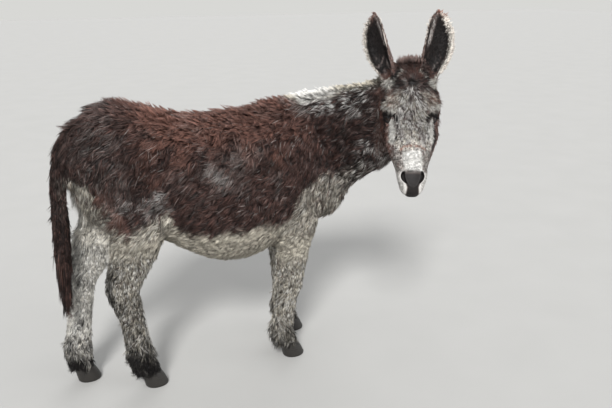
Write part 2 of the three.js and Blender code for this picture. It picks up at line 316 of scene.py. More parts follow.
heads = in_head(vertex_places(skin_mesh))
in_face = (heads[:, 0] > -0.06) & (heads[:, 0] < 0.5) & (abs(heads[:, 1]) < 0.14)
in_face &= (heads[:, 2] > -0.26) & (heads[:, 2] < 0.05)
refine(skin_mesh, in_face & ((heads[:, 0] > 0.34) | near_eyes(heads, 0.06)))
heads = in_head(vertex_places(skin_mesh))
near_holes = np.linalg.norm(both_sides(heads) - NOSTRIL, axis=1) < 0.034
refine(skin_mesh, near_holes | near_eyes(heads, 0.036))
print("after cutting finer", len(skin_mesh.vertices), "points")

# %% [markdown]
# ## Which part of the body each point belongs to
#
# Every later choice depends on this: how deep the coat is, which way it lies, what colour it has. The
# nearest solid says which part a point belongs to; the head's solid also holds some of the throat, which
# counts as neck. A number that jumps at a border, such as the coat's depth, is then let spread over the
# skin, from neighbour to neighbour, until it changes softly.

# %% Neighbours on the skin
edge_ends = np.empty(2 * len(skin_mesh.edges), dtype=np.int32)
skin_mesh.edges.foreach_get("vertices", edge_ends)
edge_ends = edge_ends.reshape(-1, 2)
both_ways = np.concatenate([edge_ends, edge_ends[:, ::-1]])
both_ways = both_ways[np.argsort(both_ways[:, 0], kind="stable")]
neighbour_start = np.searchsorted(both_ways[:, 0], np.arange(len(skin_mesh.vertices)))
neighbour_count = np.diff(np.append(neighbour_start, len(both_ways)))[:, None]


def neighbour_mean(values):
    sums = np.add.reduceat(values[both_ways[:, 1]], neighbour_start, axis=0)
    return sums / neighbour_count


def spread(values, rounds):
    flat = values if values.ndim == 2 else values[:, None]
    for _ in range(rounds):
        flat = 0.5 * flat + 0.5 * neighbour_mean(flat)
    return flat if values.ndim == 2 else flat[:, 0]


print("a point has", neighbour_count.mean().round(2), "neighbours")

# %% Parts of the body
places = vertex_places(skin_mesh)
part = np.array([face_names[flesh_tree.find_nearest(Vector(p))[2]] for p in places])
heads = in_head(places)
behind_jaw = (np.abs(heads[:, 1]) > 0.120) | (heads[:, 2] < -0.245)
part = np.where((part == "head") & behind_jaw, "neck", part)
is_ear = np.isin(part, ("ear_right", "ear_left"))
is_tail = part == "tail"
is_leg = np.char.endswith(np.char.partition(part, "_")[:, 0], "leg")
is_head = np.isin(part, ("head", "eye_right", "eye_left"))
print({name: int((part == name).sum()) for name in sorted(set(part))})

# %% [markdown]
# ## Smooth the facets away, then sink the skin under the coat
#
# The solids are faceted and a living animal is not. Plain smoothing shrinks thin parts such as ears, so
# each round of smoothing is followed by a round that swells a little more than it shrank. The trunk gets
# the most rounds, the face few and the ears fewest.

# %% Smooth
SMOOTH_ROUNDS = 36

smoothness = np.where(is_ear | is_tail, 0.25, np.where(is_head, 0.45, np.where(is_leg, 0.7, 1.0)))
smoothness = spread(smoothness, 20)[:, None]
faceted = places
for _ in range(SMOOTH_ROUNDS):
    places = places + 0.55 * smoothness * (neighbour_mean(places) - places)
    places = places - 0.57 * smoothness * (neighbour_mean(places) - places)
print("smoothing moved points", (1000 * np.linalg.norm(places - faceted, axis=1).mean()).round(2), "mm")

# %% [markdown]
# The solids end where the coat ends, so the skin sinks along its normals by the depth of the coat that
# will grow on it. That is most on the back, and next to nothing on the ears, the muzzle and round the
# eyes, where the hair lies flat.

# %% Coat depth, by place


def settle(places):
    """Hands new places to the skin and returns its normals."""
    skin_mesh.vertices.foreach_set("co", places.astype(np.float32).ravel())
    skin_mesh.update()
    return vertex_normals(skin_mesh)


z = in_body(places)[:, 2]
heads = in_head(places)
face_x, face_y, face_z = heads.T
from_muzzle = ramp(face_x, 0.36, 0.10)
on_jaw = ramp(face_z, -0.06, -0.15)

normals_before = settle(places)
coat_depth = 0.012 + 0.006 * ramp(z, 0.80, 0.95) - 0.003 * ramp(z, 0.66, 0.60)
coat_depth = np.where(part == "neck", 0.013, coat_depth)
coat_depth = np.where(is_leg, 0.0015 + 0.006 * ramp(z, 0.42, 0.70), coat_depth)
coat_depth = np.where(is_head, 0.0022 + 0.0085 * from_muzzle + 0.004 * on_jaw, coat_depth)
coat_depth = np.where(is_ear, 0.0014, coat_depth)
coat_depth = np.where(is_tail, 0.005, coat_depth)
coat_depth = np.where(is_leg & (normals_before[:, 0] < -0.3), 0.0015, coat_depth)
coat_depth = spread(coat_depth, 26)
coat_depth[is_ear] = np.minimum(coat_depth[is_ear], 0.0025)
coat_depth = np.where(near_eyes(heads, 0.030), np.minimum(coat_depth, 0.002), coat_depth)
places = places - normals_before * coat_depth[:, None]
print("coat depth from", coat_depth.min().round(4), "to", coat_depth.max().round(4))

# %% [markdown]
# ## Lids, nostrils and lips
#
# A donkey's eye sits under a heavy brow. The lids here are the skin itself: where the eye is closed the
# skin rides a lid's thickness above the eyeball, and inside an almond-shaped opening it dips below it,
# so the eyeball made later shows through. Lids cut as pieces of their own would leave a seam.

# %% Shape the lids
LID = 0.0026
OPENING_HALF_LENGTH = 0.0165
OPENING_HALF_HEIGHT = 0.0078
DIP = 0.0055
GAZE = np.array([0.12, 0.66, 0.74])


def eye_axes(side):
    """The gaze, the line between the corners of the eye and the line across it, in the head's frame."""
    gaze = unit(GAZE * [1, side, 1])
    level = np.array([1.0, -0.30 * side, 0.22])
    level = unit(level - gaze * (gaze @ level))
    return gaze, level, np.cross(gaze, level)


heads = in_head(places)
for side in (1, -1):
    seat = EYE_SEAT * [1, side, 1]
    gaze, along_lid, across_lid = eye_axes(side)
    away = heads - seat
    distance = np.linalg.norm(away, axis=1)
    facing = (away @ gaze) / np.maximum(distance, 1e-6)
    u = away @ along_lid / OPENING_HALF_LENGTH
    v = away @ across_lid / OPENING_HALF_HEIGHT
    opening = np.sqrt(u * u + np.abs(v) ** 2.0 * (1 + 0.6 * u * u))
    lid_radius = EYE_RADIUS + LID * ramp(opening, 1.02, 1.22) - DIP * ramp(opening, 1.06, 0.90)
    hug = ramp(distance, 0.034, 0.024) * ramp(facing, 0.10, 0.35)
    target = seat + unit(away) * lid_radius[:, None]
    heads = heads + hug[:, None] * (target - heads)
print("lids hug eyeballs of", 2000 * EYE_RADIUS, "mm across")

# %% [markdown]
# The nostrils are slanting commas pushed deep into the muzzle, with a raised rim. A boolean cut would
# leave sharp edges where the real ones roll inwards, so the skin is pushed in by a smooth depth instead.

# %% Push in the nostrils
HOLE_DEPTH = 0.014
HOLE_RIM = 0.0016


def nostril_rings(heads):
    """0 along the curved middle of each nostril, 1 at its edge."""
    s = (heads[:, 0] - NOSTRIL[0]) / 0.0215
    middle_y = 0.0362 - 0.0095 * ((heads[:, 0] - 0.411) / 0.025) ** 2
    w = (np.abs(heads[:, 1]) - middle_y) / (0.0064 * (1.0 - 0.22 * np.clip(s, -1, 1)))
    away = 6 * np.clip(np.abs(heads[:, 2] - NOSTRIL[2]) - 0.018, 0, None) / 0.018
    return np.sqrt(s * s + w * w) + away


hole = nostril_rings(heads)
inward = unit(np.stack([-0.25 + 0 * hole, -0.30 * np.sign(heads[:, 1]), -0.92 + 0 * hole], axis=1))
rim_height = np.exp(-(((hole - 1.35) / 0.30) ** 2))
heads = heads + inward * (HOLE_DEPTH * ramp(hole, 1.0, 0.60) - HOLE_RIM * rim_height)[:, None]
print("nostril points", int((hole < 1).sum()))

# %% [markdown]
# The mouth is shut, so it is only a fine groove along the side of the muzzle, which ends below the
# nostrils, with the lower lip a little full under it. Points along a line are pulled inwards for it, so
# the skin stays whole.

# %% Groove the mouth
GROOVE_DEPTH = 0.006
LIP_FULLNESS = 0.005

face_x, face_y, face_z = heads.T
lip_line = -0.104 - 0.22 * (0.462 - face_x)
groove = np.exp(-(((face_z - lip_line) / 0.0026) ** 2)) * ramp(face_x, 0.385, 0.42)
muzzle_axis = np.stack([face_x * 0 + 0.43, face_y * 0, face_z], axis=1)
heads = heads + GROOVE_DEPTH * groove[:, None] * unit(muzzle_axis - heads)
lower_lip = np.exp(-(((face_z + 0.122) / 0.014) ** 2)) * ramp(face_x, 0.42, 0.46)
heads = heads + LIP_FULLNESS * lower_lip[:, None] * np.array([1.0, 0.0, -0.2])

places = np.where(is_head[:, None], from_head(heads), places)
normals = settle(places)
print("points in the groove", int((groove > 0.5).sum()))

# %% [markdown]
# ## How much each point belongs to each part
#
# The ears need their own measure: how far up the ear a point is, whether it is in the hollow, and how
# near the rim. Each ear stands in a frame of its own, turned with the head, and is a wrapped leaf: at
# each height it reaches round a certain number of degrees, from rim to rim.

# %% Ear frames
EAR_LENGTH = 0.246
EAR_PLACES = {
    "ear_right": dict(side=-1, root=(0.024, -0.078, -0.036), lean=15, back=4, spin=34, bow=0.026),
    "ear_left": dict(side=1, root=(0.024, 0.065, -0.036), lean=7, back=4, spin=8, bow=0.023),
}
EAR_WRAP = [
    # How far up the ear, and the degrees it reaches round there.
    (-0.16, 280), (0, 262), (0.14, 232), (0.30, 208), (0.46, 196),
    (0.62, 190), (0.76, 186), (0.88, 184), (0.96, 182), (1.0, 180),
]


def lookup(values, pairs):
    """Reads a short list of pairs: where, and how much there. Between the pairs it goes straight."""
    return np.interp(values, [where for where, _ in pairs], [much for _, much in pairs])


def ear_axes(ear):
    turn = Euler((0, 0, HEAD_TURN)).to_matrix()
    back = Euler((0, math.radians(-ear["back"]), 0)).to_matrix()
    lean = Euler((math.radians(-ear["side"] * ear["lean"]), 0, 0)).to_matrix()
    spin = Euler((0, 0, math.radians(ear["side"] * ear["spin"]))).to_matrix()
    return np.array(turn @ back @ lean @ spin)


rise, hollow, rim, streak_in = (np.zeros(len(places)) for _ in range(4))
ear_up = np.zeros((len(places), 3))
ear_out = np.zeros((len(places), 3))
for name, ear in EAR_PLACES.items():
    axes = ear_axes(ear)
    mine = part == name
    local = (places - from_head(ear["root"])) @ axes
    local_normal = normals @ axes
    up = local[:, 2] / EAR_LENGTH
    bowed = local[:, 1] - ear["side"] * ear["bow"] * np.sin(math.pi * np.clip(up, 0, 1))
    around = np.degrees(np.abs(np.arctan2(bowed, -local[:, 0])))
    outward = local_normal[:, 0] * local[:, 0] + local_normal[:, 1] * bowed
    rise[mine] = up[mine]
    hollow[mine] = (outward < 0)[mine] & (up > 0.04)[mine]
    outer_rim = bowed * ear["side"] > 0
    rim_start = np.where(outer_rim, -14 - 16 * (ear["side"] > 0), -7)
    past_rim = around - lookup(up, EAR_WRAP) / 2
    rim[mine] = (ramp(past_rim, rim_start, -4) * np.where(outer_rim, 1.0, 0.12))[mine]
    inner_edge = ramp(past_rim, -46, -34) * ramp(past_rim, -9, -16) * ~outer_rim
    streak_in[mine] = (inner_edge * ramp(up, 0.34, 0.50) * ramp(up, 0.97, 0.90))[mine]
    ear_up[mine] = axes[:, 2]
    ear_out[mine] = (unit(np.stack([0.5 + 0 * bowed, np.sign(bowed), 0 * bowed], axis=1)) @ axes.T)[mine]
print("points in the hollows of the ears:", int(hollow.sum()))

# %% [markdown]
# Now each point of the skin can say how much it belongs to each part, from 0 to 1 and softly across the
# borders. The tufts will read the same numbers where they are rooted.

# %% Soft kinds
kinds = {
    "leg": spread(is_leg.astype(float), 12),
    "head": spread(is_head.astype(float), 6),
    "neck": spread((part == "neck").astype(float), 12),
    "trunk": spread((part == "trunk").astype(float), 8),
    "tail": spread(is_tail.astype(float), 3),
    "ear": is_ear.astype(float),
    "hollow": spread(hollow, 1),
    "rim": rim,
    "rise": rise,
    "streak": streak_in,
    "depth": coat_depth,
}
print("mean kinds", {name: float(values.mean().round(3)) for name, values in kinds.items()})

# %% [markdown]
# ## Markings
#
# The coat is a dark chocolate brown that turns rusty along the back, with silver frosting where long
# guard hairs catch the light. The belly, the legs and the muzzle are pale, the poll and the lower
# fetlocks dark. Each of these is a soft mask between 0 and 1, worked out from the place on the body
# alone, so the skin and every tuft that grows there can ask for the same colours. Painting by hand would
# be the usual way, but formulas stay sharp from close by and can be read.
#
# The masks are drawn with three simple brushes: round spots, straight stripes and paths of stripes.

# %% Spots, stripes and paths
MASKS = ("pale", "silver", "rust", "dark", "white")


def spots(points, middles, radius):
    """1 near any of the middles, fading to 0 at about one and a half radii."""
    mask = np.zeros(len(points))
    for middle in middles:
        mask = np.maximum(mask, ramp(np.linalg.norm(points - middle, axis=1), 1.5 * radius, 0.6 * radius))
    return mask


def stripe(points, start, end, radius):
    """1 along a straight stroke from start to end."""
    start, end = np.array(start), np.array(end)
    t = np.clip((points - start) @ (end - start) / ((end - start) @ (end - start)), 0, 1)
    away = np.linalg.norm(points - start - t[:, None] * (end - start), axis=1)
    return ramp(away, 1.4 * radius, 0.6 * radius)


def path(points, nodes, radius):
    """1 along a line through several nodes."""
    return np.max([stripe(points, a, b, radius) for a, b in zip(nodes[:-1], nodes[1:])], axis=0)


beside = np.array([[0, 0.008, 0]])
print("a stripe of radius 1 cm, 8 mm off its middle:", stripe(beside, (-1, 0, 0), (1, 0, 0), 0.01).round(2))

# %% [markdown]
# All brushes ask the same things about a place: where it is on the body and on the head, which part it
# belongs to, and how the random hills stand there. "blotch" makes borders wander, "streak" and "strands"
# are drawn out along the hair. Each kind of marking below is a function that takes the masks so far, m,
# and the answers, at. It is used on the skin at once, and later on every tuft.

# %% What the brushes ask about a place


def look_at(points, normals, kind):
    """Everything about these points that the markings need. They are read where the coat's surface is."""
    surface = points + normals * kind["depth"][:, None]
    at = SimpleNamespace(normals=normals, kind=kind, surface=surface)
    at.leg, at.head, at.neck = kind["leg"], kind["head"], kind["neck"]
    at.ear, at.tail, at.trunk = kind["ear"], kind["tail"], kind["trunk"]
    at.body = in_body(surface)
    at.x, at.y, at.z = at.body.T
    at.heads = in_head(surface)
    at.face = both_sides(at.heads)
    at.blotch = ripples(points, 0.045, 3)
    at.streak = ripples(points * [1.0, 1.0, 0.30], 0.014, 4)
    at.strands = ripples(points * [1.0, 1.0, 0.20], 0.0070, 9)
    at.patches = ripples(points, 0.09, 5)
    at.clouds = ripples(points, 0.05, 12)
    at.grit = ripples(points, 0.007, 8)
    at.inside = ramp(normals[:, 1] * -np.sign(at.y), -0.1, 0.4)
    at.outside = ramp(normals[:, 1] * np.sign(at.y), -0.3, 0.3)
    at.hind = ramp(at.x, 0, -0.1)
    return at


def no_masks(count):
    return SimpleNamespace(
        pale=np.zeros(count), silver=np.zeros(count), rust=np.zeros(count),
        dark=np.zeros(count), white=np.zeros(count),
    )


def mask_columns(m):
    """The masks as columns, in the order of MASKS."""
    return np.clip(np.stack([m.pale, m.silver, m.rust, m.dark, m.white], axis=1), 0, 1)


skin_at = look_at(places, normals, kinds)
skin_m = no_masks(len(places))


def show_masks(after):
    print("mean masks after", after, dict(zip(MASKS, mask_columns(skin_m).mean(axis=0).round(3))))


print("points on the inside of a leg or flank:", int((skin_at.inside > 0.5).sum()))

# %% [markdown]
# The brown of the body ends in a wavy edge above the pale belly and legs. It is given as a list of
# landmarks from the tail to the chest, and a second list, from low to high, for the back of the thigh.

# %% The edge of the brown
BROWN_EDGE = [
    # x and z: behind the thigh.
    (-0.62, 0.56), (-0.52, 0.60), (-0.448, 0.700), (-0.417, 0.690),
    # Over the thigh and up to the stifle.
    (-0.398, 0.655), (-0.356, 0.700), (-0.318, 0.717), (-0.279, 0.737), (-0.244, 0.746), (-0.227, 0.689),
    # Along the flank to the elbow.
    (-0.167, 0.634), (-0.079, 0.622), (0.015, 0.629), (0.167, 0.630), (0.242, 0.637),
    # Up over the fore arm, and the chest.
    (0.270, 0.702), (0.309, 0.757), (0.360, 0.781), (0.460, 0.794),
    (0.503, 0.841), (0.56, 0.86), (0.62, 0.80),
]
THIGH_EDGE = [
    # z and x.
    (0.600, -0.43), (0.653, -0.43), (0.704, -0.439), (0.756, -0.46), (0.793, -0.482), (0.880, -0.535),
]


def mark_underparts(m, at):
    """Also keeps in `at` where the brown ends, for the markings that follow."""
    far_thigh = np.maximum(at.inside, ramp(at.y, 0.0, 0.04)) * ramp(at.x, -0.38, -0.46)
    edge = lookup(at.x, BROWN_EDGE) + 0.17 * far_thigh * ramp(at.y, 0.16, 0.12)
    below = ramp(at.z - edge + 0.010 * at.blotch, 0.022, -0.020)
    at.behind = at.x - lookup(at.z, THIGH_EDGE) + 0.006 * at.blotch
    below = np.maximum(below, ramp(at.behind, 0.008, -0.008) * ramp(at.z, 0.89, 0.86))
    at.below = below * (1 - at.head) * (1 - at.tail) * (1 - at.ear)
    at.low = ramp(at.z + 0.02 * at.blotch, 0.235, 0.080) * at.leg

    m.pale = at.below * (0.90 + 0.10 * ramp(at.x, 0.25, -0.10) * ramp(at.x, -0.28, -0.20))
    m.pale += 0.20 * at.inside * at.below
    # Painted shade: the trunk is made less pale where it faces down, under the belly.
    m.pale *= 1 - 0.16 * at.trunk * ramp(-at.normals[:, 2], 0.10, 0.70)
    m.pale *= (1 - 0.22 * ramp(at.x, 0.22, 0.32) * ramp(at.z, 0.50, 0.64)) * (1 - 0.65 * at.neck)
    # The far thigh's white is partly its own pale colour and partly painted light, where the near leg shades
    # it.
    m.white = 0.42 * far_thigh * at.below + 0.26 * at.leg * at.inside * at.hind * (1 - at.low)


mark_underparts(skin_m, skin_at)
show_masks("the underparts")

# %% [markdown]
# On the trunk, silver patches lie on the ribs and the hip, and rust along the back and in a thin line
# before the pale edge of the thigh. Legs are pale with dark streaks, darkest at the fetlocks.

# %% Trunk and legs


def mark_trunk(m, at):
    ribs = [(-0.080, -0.235, 0.905), (-0.050, -0.24, 0.870), (-0.030, -0.24, 0.850)]
    hip = [(-0.385, -0.19, 0.79), (-0.332, -0.2, 0.800), (-0.279, -0.2, 0.805)]
    m.silver = 0.66 * spots(at.body, ribs, 0.022)
    m.silver += 0.12 * spots(at.body, [(-0.05, -0.24, 0.88), (0.02, -0.24, 0.93)], 0.070)
    m.silver += 0.44 * spots(at.body, hip, 0.032)
    m.silver += 0.35 * spots(at.body, [(-0.28, -0.2, 0.758)], 0.045)
    m.silver += 0.08 * at.trunk * ramp(at.patches, 0.4, 1.2) + 0.09 * at.trunk * ramp(at.x, -0.34, -0.42)

    m.rust = 0.75 * at.trunk * ramp(at.z - 0.05 * at.blotch, 0.90, 1.02) * ramp(at.x, -0.40, -0.22)
    m.rust += 0.10 * at.tail
    thigh_line = np.exp(-(((at.behind - 0.018) / 0.020) ** 2))
    m.rust += 0.8 * thigh_line * ramp(at.z, 0.87, 0.82) * ramp(at.z, 0.60, 0.66) * (1 - at.below)


def mark_legs(m, at):
    z = at.z
    shin_front = ramp(-at.normals[:, 0], 0.35, 0.80) * ramp(z, 0.34, 0.42) * ramp(z, 0.58, 0.50)
    m.dark = (0.56 + 0.14 * at.hind) * at.low
    m.dark += (0.14 * ramp(at.streak, 0.0, 0.9) + 0.30 * ramp(at.strands, 0.3, 1.2)) * at.leg
    m.dark += 0.26 * at.leg * at.outside * at.hind * ramp(z, 0.46, 0.38)
    m.dark += 0.34 * at.leg * at.inside * ramp(at.clouds, 0.0, 0.9) * ramp(z, 0.54, 0.44) * at.hind
    m.dark += 0.6 * at.leg * shin_front * at.hind
    m.dark += 0.45 * at.tail


mark_trunk(skin_m, skin_at)
mark_legs(skin_m, skin_at)
show_masks("trunk and legs")

# %% [markdown]
# The neck has dark and silver streaks, with the most silver towards the crest. The locks right on the
# crest are nearly white, and so is a line that runs on from them to the poll. On the crest the white is
# partly the locks' own colour and partly painted light, a glow of light through the hair.

# %% Neck and crest


def mark_neck(m, at):
    crest = path(at.body, [(0.372, -0.010, 1.108), (0.420, -0.040, 1.115), (0.470, -0.080, 1.122)], 0.038)
    crest *= 1 - 0.8 * ramp(at.normals[:, 1], 0.20, 0.60)
    crest_end = path(at.body, [(0.470, -0.080, 1.130), (0.540, -0.150, 1.155), (0.600, -0.250, 1.180)], 0.031)
    crest_side = path(at.body, [(0.360, -0.03, 1.075), (0.450, -0.08, 1.085), (0.560, -0.20, 1.100)], 0.060)
    m.pale += 1.2 * crest + 0.95 * crest_end

    shoulder = ramp(at.z + 0.01 * at.blotch, 1.035, 1.010) * ramp(at.z, 0.84, 0.88)
    shoulder *= ramp(at.x + 0.010 * at.blotch, 0.535, 0.505)
    frosted = at.neck * ramp(at.x + 0.06 * at.blotch, 0.42, 0.50) * ramp(at.streak, -0.5, 0.5)
    m.silver += 0.36 * frosted * (1 - 0.85 * shoulder)
    m.silver += 0.95 * at.neck * crest_side * ramp(at.streak, -0.9, 0.2)
    throat = at.neck * ramp(at.x, 0.50, 0.53) * ramp(at.z, 1.00, 0.94)
    m.silver += 0.26 * throat * ramp(at.streak, -0.9, 0.2)

    m.dark += 0.60 * at.neck * ramp(-at.streak, -0.1, 0.6) * ramp(at.x, 0.42, 0.50)
    m.dark = m.dark * (1 - 0.55 * at.neck * crest_side) * (1 - 0.95 * crest)
    # The crest's white is partly its own colour and partly painted light shining through the locks.
    m.white += 0.90 * crest


mark_neck(skin_m, skin_at)
show_masks("the neck")

# %% [markdown]
# The face, in the head's own frame, is the same on both sides. A silver blaze runs from the forehead to
# the nose, wider at the eyes, with pale temples beside it, rusty cheeks and a dark spot at the whorl. The
# bases of the ears are pale on the outside, with dark hair before them.

# %% Forehead, temples and the bases of the ears
BLAZE_HALF = [(0.070, 0.008), (0.100, 0.027), (0.140, 0.046), (0.175, 0.056), (0.215, 0.062), (0.25, 0.067)]
EAR_FRONT = [(0.046, 0.058, 0.002), (0.072, 0.086, -0.010), (0.120, 0.108, -0.022)]
EAR_RIM_FOOT = [(-0.004, 0.024, 0.012), (0.028, 0.044, 0.004), (0.060, 0.074, -0.006)]


def mark_forehead(m, at):
    fx, fy, fz = at.face.T
    crown = ramp(fx + 0.008 * at.blotch, 0.066, 0.112)
    blaze = ramp(fy - lookup(fx, BLAZE_HALF) + 0.006 * at.blotch, 0.014, -0.010)
    bridge = ramp(fx, 0.332, 0.316) * ramp(fz, -0.075, -0.035)
    temple = at.head * ramp(fx, 0.085, 0.125) * ramp(fx, 0.195, 0.175)
    temple = temple * ramp(fy, 0.120, 0.104) * ramp(fz, -0.06, -0.03)

    m.silver += at.head * (1.0 * blaze * crown * bridge + 0.27 * crown * bridge * ramp(fy, 0.105, 0.085))
    m.silver += 0.26 * temple * (1 - blaze)
    m.silver += at.head * (0.30 * ramp(fz, -0.10, -0.17) + 0.22 * (1 - crown) * ramp(at.streak, -0.2, 0.6))
    m.pale += at.head * 0.65 * blaze * crown * bridge * ramp(at.streak, -0.6, 0.9)
    m.pale += 0.54 * temple * (1 - blaze)
    m.rust += at.head * (0.60 * ramp(fy, 0.066, 0.090) + 0.35 * ramp(fx, 0.070, 0.040))
    m.rust += 0.6 * temple * (1 - blaze)
    m.dark += at.head * 0.25 * (1 - crown) + 0.6 * at.head * spots(at.face, [(0.070, 0.0, 0.019)], 0.014)
    m.dark += at.head * 0.10 * ramp(fy, 0.084, 0.097) + at.head * 0.15 * blaze * ramp(at.streak, 0.2, 1.2)


def mark_ear_bases(m, at):
    m.dark += at.head * 0.60 * path(at.face, EAR_FRONT, 0.013)
    ear_base = at.head * spots(at.face, [(0.050, 0.098, -0.030), (0.064, 0.084, -0.010)], 0.021)
    m.pale += 1.0 * ear_base
    m.dark *= 1 - ear_base
    m.white += 0.45 * ear_base
    m.dark += 0.55 * at.head * path(at.face, [(0.012, 0.050, 0.0), (0.038, 0.066, -0.006)], 0.012)
    rim_line = at.head * path(at.face, EAR_RIM_FOOT, 0.0045)
    m.pale += 0.9 * rim_line
    m.dark *= 1 - rim_line
    m.white += 0.3 * rim_line


mark_forehead(skin_m, skin_at)
mark_ear_bases(skin_m, skin_at)
show_masks("forehead and ear bases")

# %% [markdown]
# Round the eye the markings are fine lines: a dark ring on the lids, a dark arch over the eye that runs
# down its inner end as a tear line, a nearly white stroke under the eye and a light brow above the arch.
# The arch is partly dark lids and lashes and partly painted shadow under the brow.
# A dark border closes the white stroke from below. It sits a little lower on the right.

# %% Round the eyes
EYE_ARCH = [(0.176, 0.110, -0.050), (0.182, 0.093, -0.020), (0.188, 0.078, -0.007), (0.199, 0.062, 0.0)]
TEAR_LINE = [(0.198, 0.062, 0.0), (0.214, 0.056, -0.003), (0.255, 0.057, -0.009), (0.284, 0.066, -0.020)]
UNDER_EYE = [(0.214, 0.079, -0.020), (0.250, 0.074, -0.017), (0.280, 0.077, -0.028)]
BROW = [(0.149, 0.112, -0.038), (0.162, 0.098, -0.010), (0.172, 0.075, 0.003)]
STROKE_BORDER = [
    (0.176, 0.094, -0.024), (0.195, 0.086, -0.030), (0.240, 0.086, -0.028),
    (0.280, 0.085, -0.036), (0.310, 0.080, -0.045),
]
LOWER_ON_RIGHT = np.array([0.0, -0.014, 0.030])


def mark_eyes(m, at):
    line = path(at.face, UNDER_EYE, 0.0135)
    m.pale = np.where(line * at.head > 0.02, np.maximum(m.pale, line), m.pale)
    m.dark *= 1 - 0.95 * line * at.head
    m.white = np.maximum(m.white, 0.85 * line * at.head)
    lowered = at.face + (at.heads[:, 1:2] < 0) * LOWER_ON_RIGHT
    border = at.head * path(lowered, STROKE_BORDER, 0.0085)
    m.pale *= 1 - border
    m.white *= 1 - border
    m.dark += 0.80 * border

    eye_ring = ramp(np.linalg.norm(at.face - EYE_SEAT, axis=1), 0.0265, 0.0230)
    m.pale *= 1 - eye_ring * at.head
    m.silver *= 1 - eye_ring * at.head
    # The arch is partly dark lid and lashes, partly painted shadow cast by the brow.
    m.dark += at.head * eye_ring + at.head * path(at.face, EYE_ARCH, 0.0090)
    m.dark += 0.8 * at.head * path(at.face, TEAR_LINE[:2], 0.0036)
    m.dark += 0.4 * at.head * path(at.face, TEAR_LINE[1:], 0.0036)

    brow = at.head * path(at.face, BROW, 0.0140) * (1 - eye_ring)
    m.pale = np.maximum(m.pale, 0.95 * brow)
    m.white = np.maximum(m.white, 0.50 * brow)
    m.rust = np.maximum(m.rust, 0.6 * brow)
    m.dark = m.dark - 0.7 * m.dark * brow * ramp(m.dark, 0.7, 0.4)


mark_eyes(skin_m, skin_at)
show_masks("the eyes")

# %% [markdown]
# The muzzle is white on the nose and on the lips and greyish brown on its sides, and has a dark bare pad
# from nostril to nostril and over the upper lip. A rusty crease parts the white nose from the blaze.

# %% Muzzle
NOSE_HALF = [(0.316, 0.020), (0.330, 0.034), (0.350, 0.037), (0.40, 0.033)]
PAD_HALF = [(0.385, 0.022), (0.402, 0.031), (0.425, 0.035), (0.440, 0.027), (0.455, 0.021), (0.475, 0.024)]
CREASE = [(0.315, 0.044, -0.016), (0.308, 0.030, -0.012), (0.304, 0.0, -0.008)]


def mark_muzzle(m, at):
    fx, fy, fz = at.face.T
    muzzle = at.head * ramp(fx + 0.005 * at.blotch, 0.310, 0.326)
    nose_half = lookup(fx, NOSE_HALF)
    nose = muzzle * ramp(fy + 0.003 * at.blotch, nose_half + 0.005, nose_half - 0.005)
    nose = nose * ramp(fx + 0.002 * at.blotch, 0.402, 0.390)
    pad = at.head * ramp(fx, 0.386, 0.414) * ramp(fy - lookup(fx, PAD_HALF), 0.004, -0.004)
    pad *= ramp(fz, -0.085, -0.065)
    pad = np.maximum(pad, at.head * ramp(fx, 0.452, 0.462) * ramp(fz, -0.085, -0.098))
    lips = muzzle * ramp(fx, 0.385, 0.405) * (1 - pad)
    flanks = muzzle * (1 - nose) * (1 - lips) * (1 - pad)
    near_nose = ramp(fy, 0.082, 0.056)

    m.white = np.where(muzzle > 0.5, np.clip(0.92 * nose + 0.70 * lips, 0, 1) * (1 - pad), m.white)
    m.pale += muzzle * (0.15 * flanks * near_nose - m.pale)
    m.silver += muzzle * ((0.12 + 0.50 * near_nose) * flanks + 0.3 * lips - m.silver)
    m.rust += muzzle * (0.30 * (1 - near_nose) * flanks - m.rust)
    muzzle_dark = 0.35 * flanks * ramp(at.streak, -1, 1) + (0.985 + 0.015 * at.grit) * pad
    m.dark += muzzle * (muzzle_dark - m.dark)

    crease = at.head * path(at.face, CREASE, 0.0060)
    m.pale = m.pale * (1 - crease) + 0.30 * crease
    m.rust = np.maximum(m.rust, crease)
    m.silver *= 1 - 0.8 * crease
    m.dark *= 1 - crease
    m.white *= 1 - crease
    in_nostril = ramp(nostril_rings(at.heads), 1.45, 1.10) * ramp(fx, 0.39, 0.40)
    m.dark = np.maximum(m.dark, at.head * in_nostril)


mark_muzzle(skin_m, skin_at)
show_masks("the muzzle")

# %% [markdown]
# The ears are near black inside with a streak and wisps of light hair, and have a pale rim, russet tips
# and brown backs. The muzzle and the ears set their masks outright, so they come last.

# %% Ears


def mark_ears(m, at):
    hollow, rim, rise = at.kind["hollow"], at.kind["rim"], at.kind["rise"]
    on_ear = at.ear > 0.5
    wisps = 0.6 * ramp(ripples(at.surface * [1, 1, 0.2], 0.006, 6), -0.2, 0.9) * ramp(rise, 0.40, 0.20)
    wisps = hollow * np.maximum(wisps, at.kind["streak"])
    tip = ramp(rise, 0.90 - 0.05 * (1 - hollow), 0.96)
    m.dark = np.where(on_ear, 0.97 * hollow * (1 - rim) * (1 - wisps) * (1 - tip), m.dark)
    m.pale = np.where(on_ear, 1.00 * rim * ramp(rise, 0.95, 0.80), m.pale)
    m.white = np.where(on_ear, 0.40 * rim * ramp(rise, 0.92, 0.76), m.white)
    m.rust = np.where(on_ear, np.maximum((1 - hollow) * 0.45, tip), m.rust)
    m.silver = np.where(on_ear, 0.16 * (1 - hollow) + 0.85 * wisps, m.silver)


mark_ears(skin_m, skin_at)
show_masks("the ears")

# %% [markdown]
# One function now runs all the markings in their order and gives the masks as columns. It will mark the
# tufts and the long hair. The skin is marked already, so its masks only need the same last step.

# %% All the markings together
MARKINGS = (
    mark_underparts, mark_trunk, mark_legs, mark_neck, mark_forehead,
    mark_ear_bases, mark_eyes, mark_muzzle, mark_ears,
)


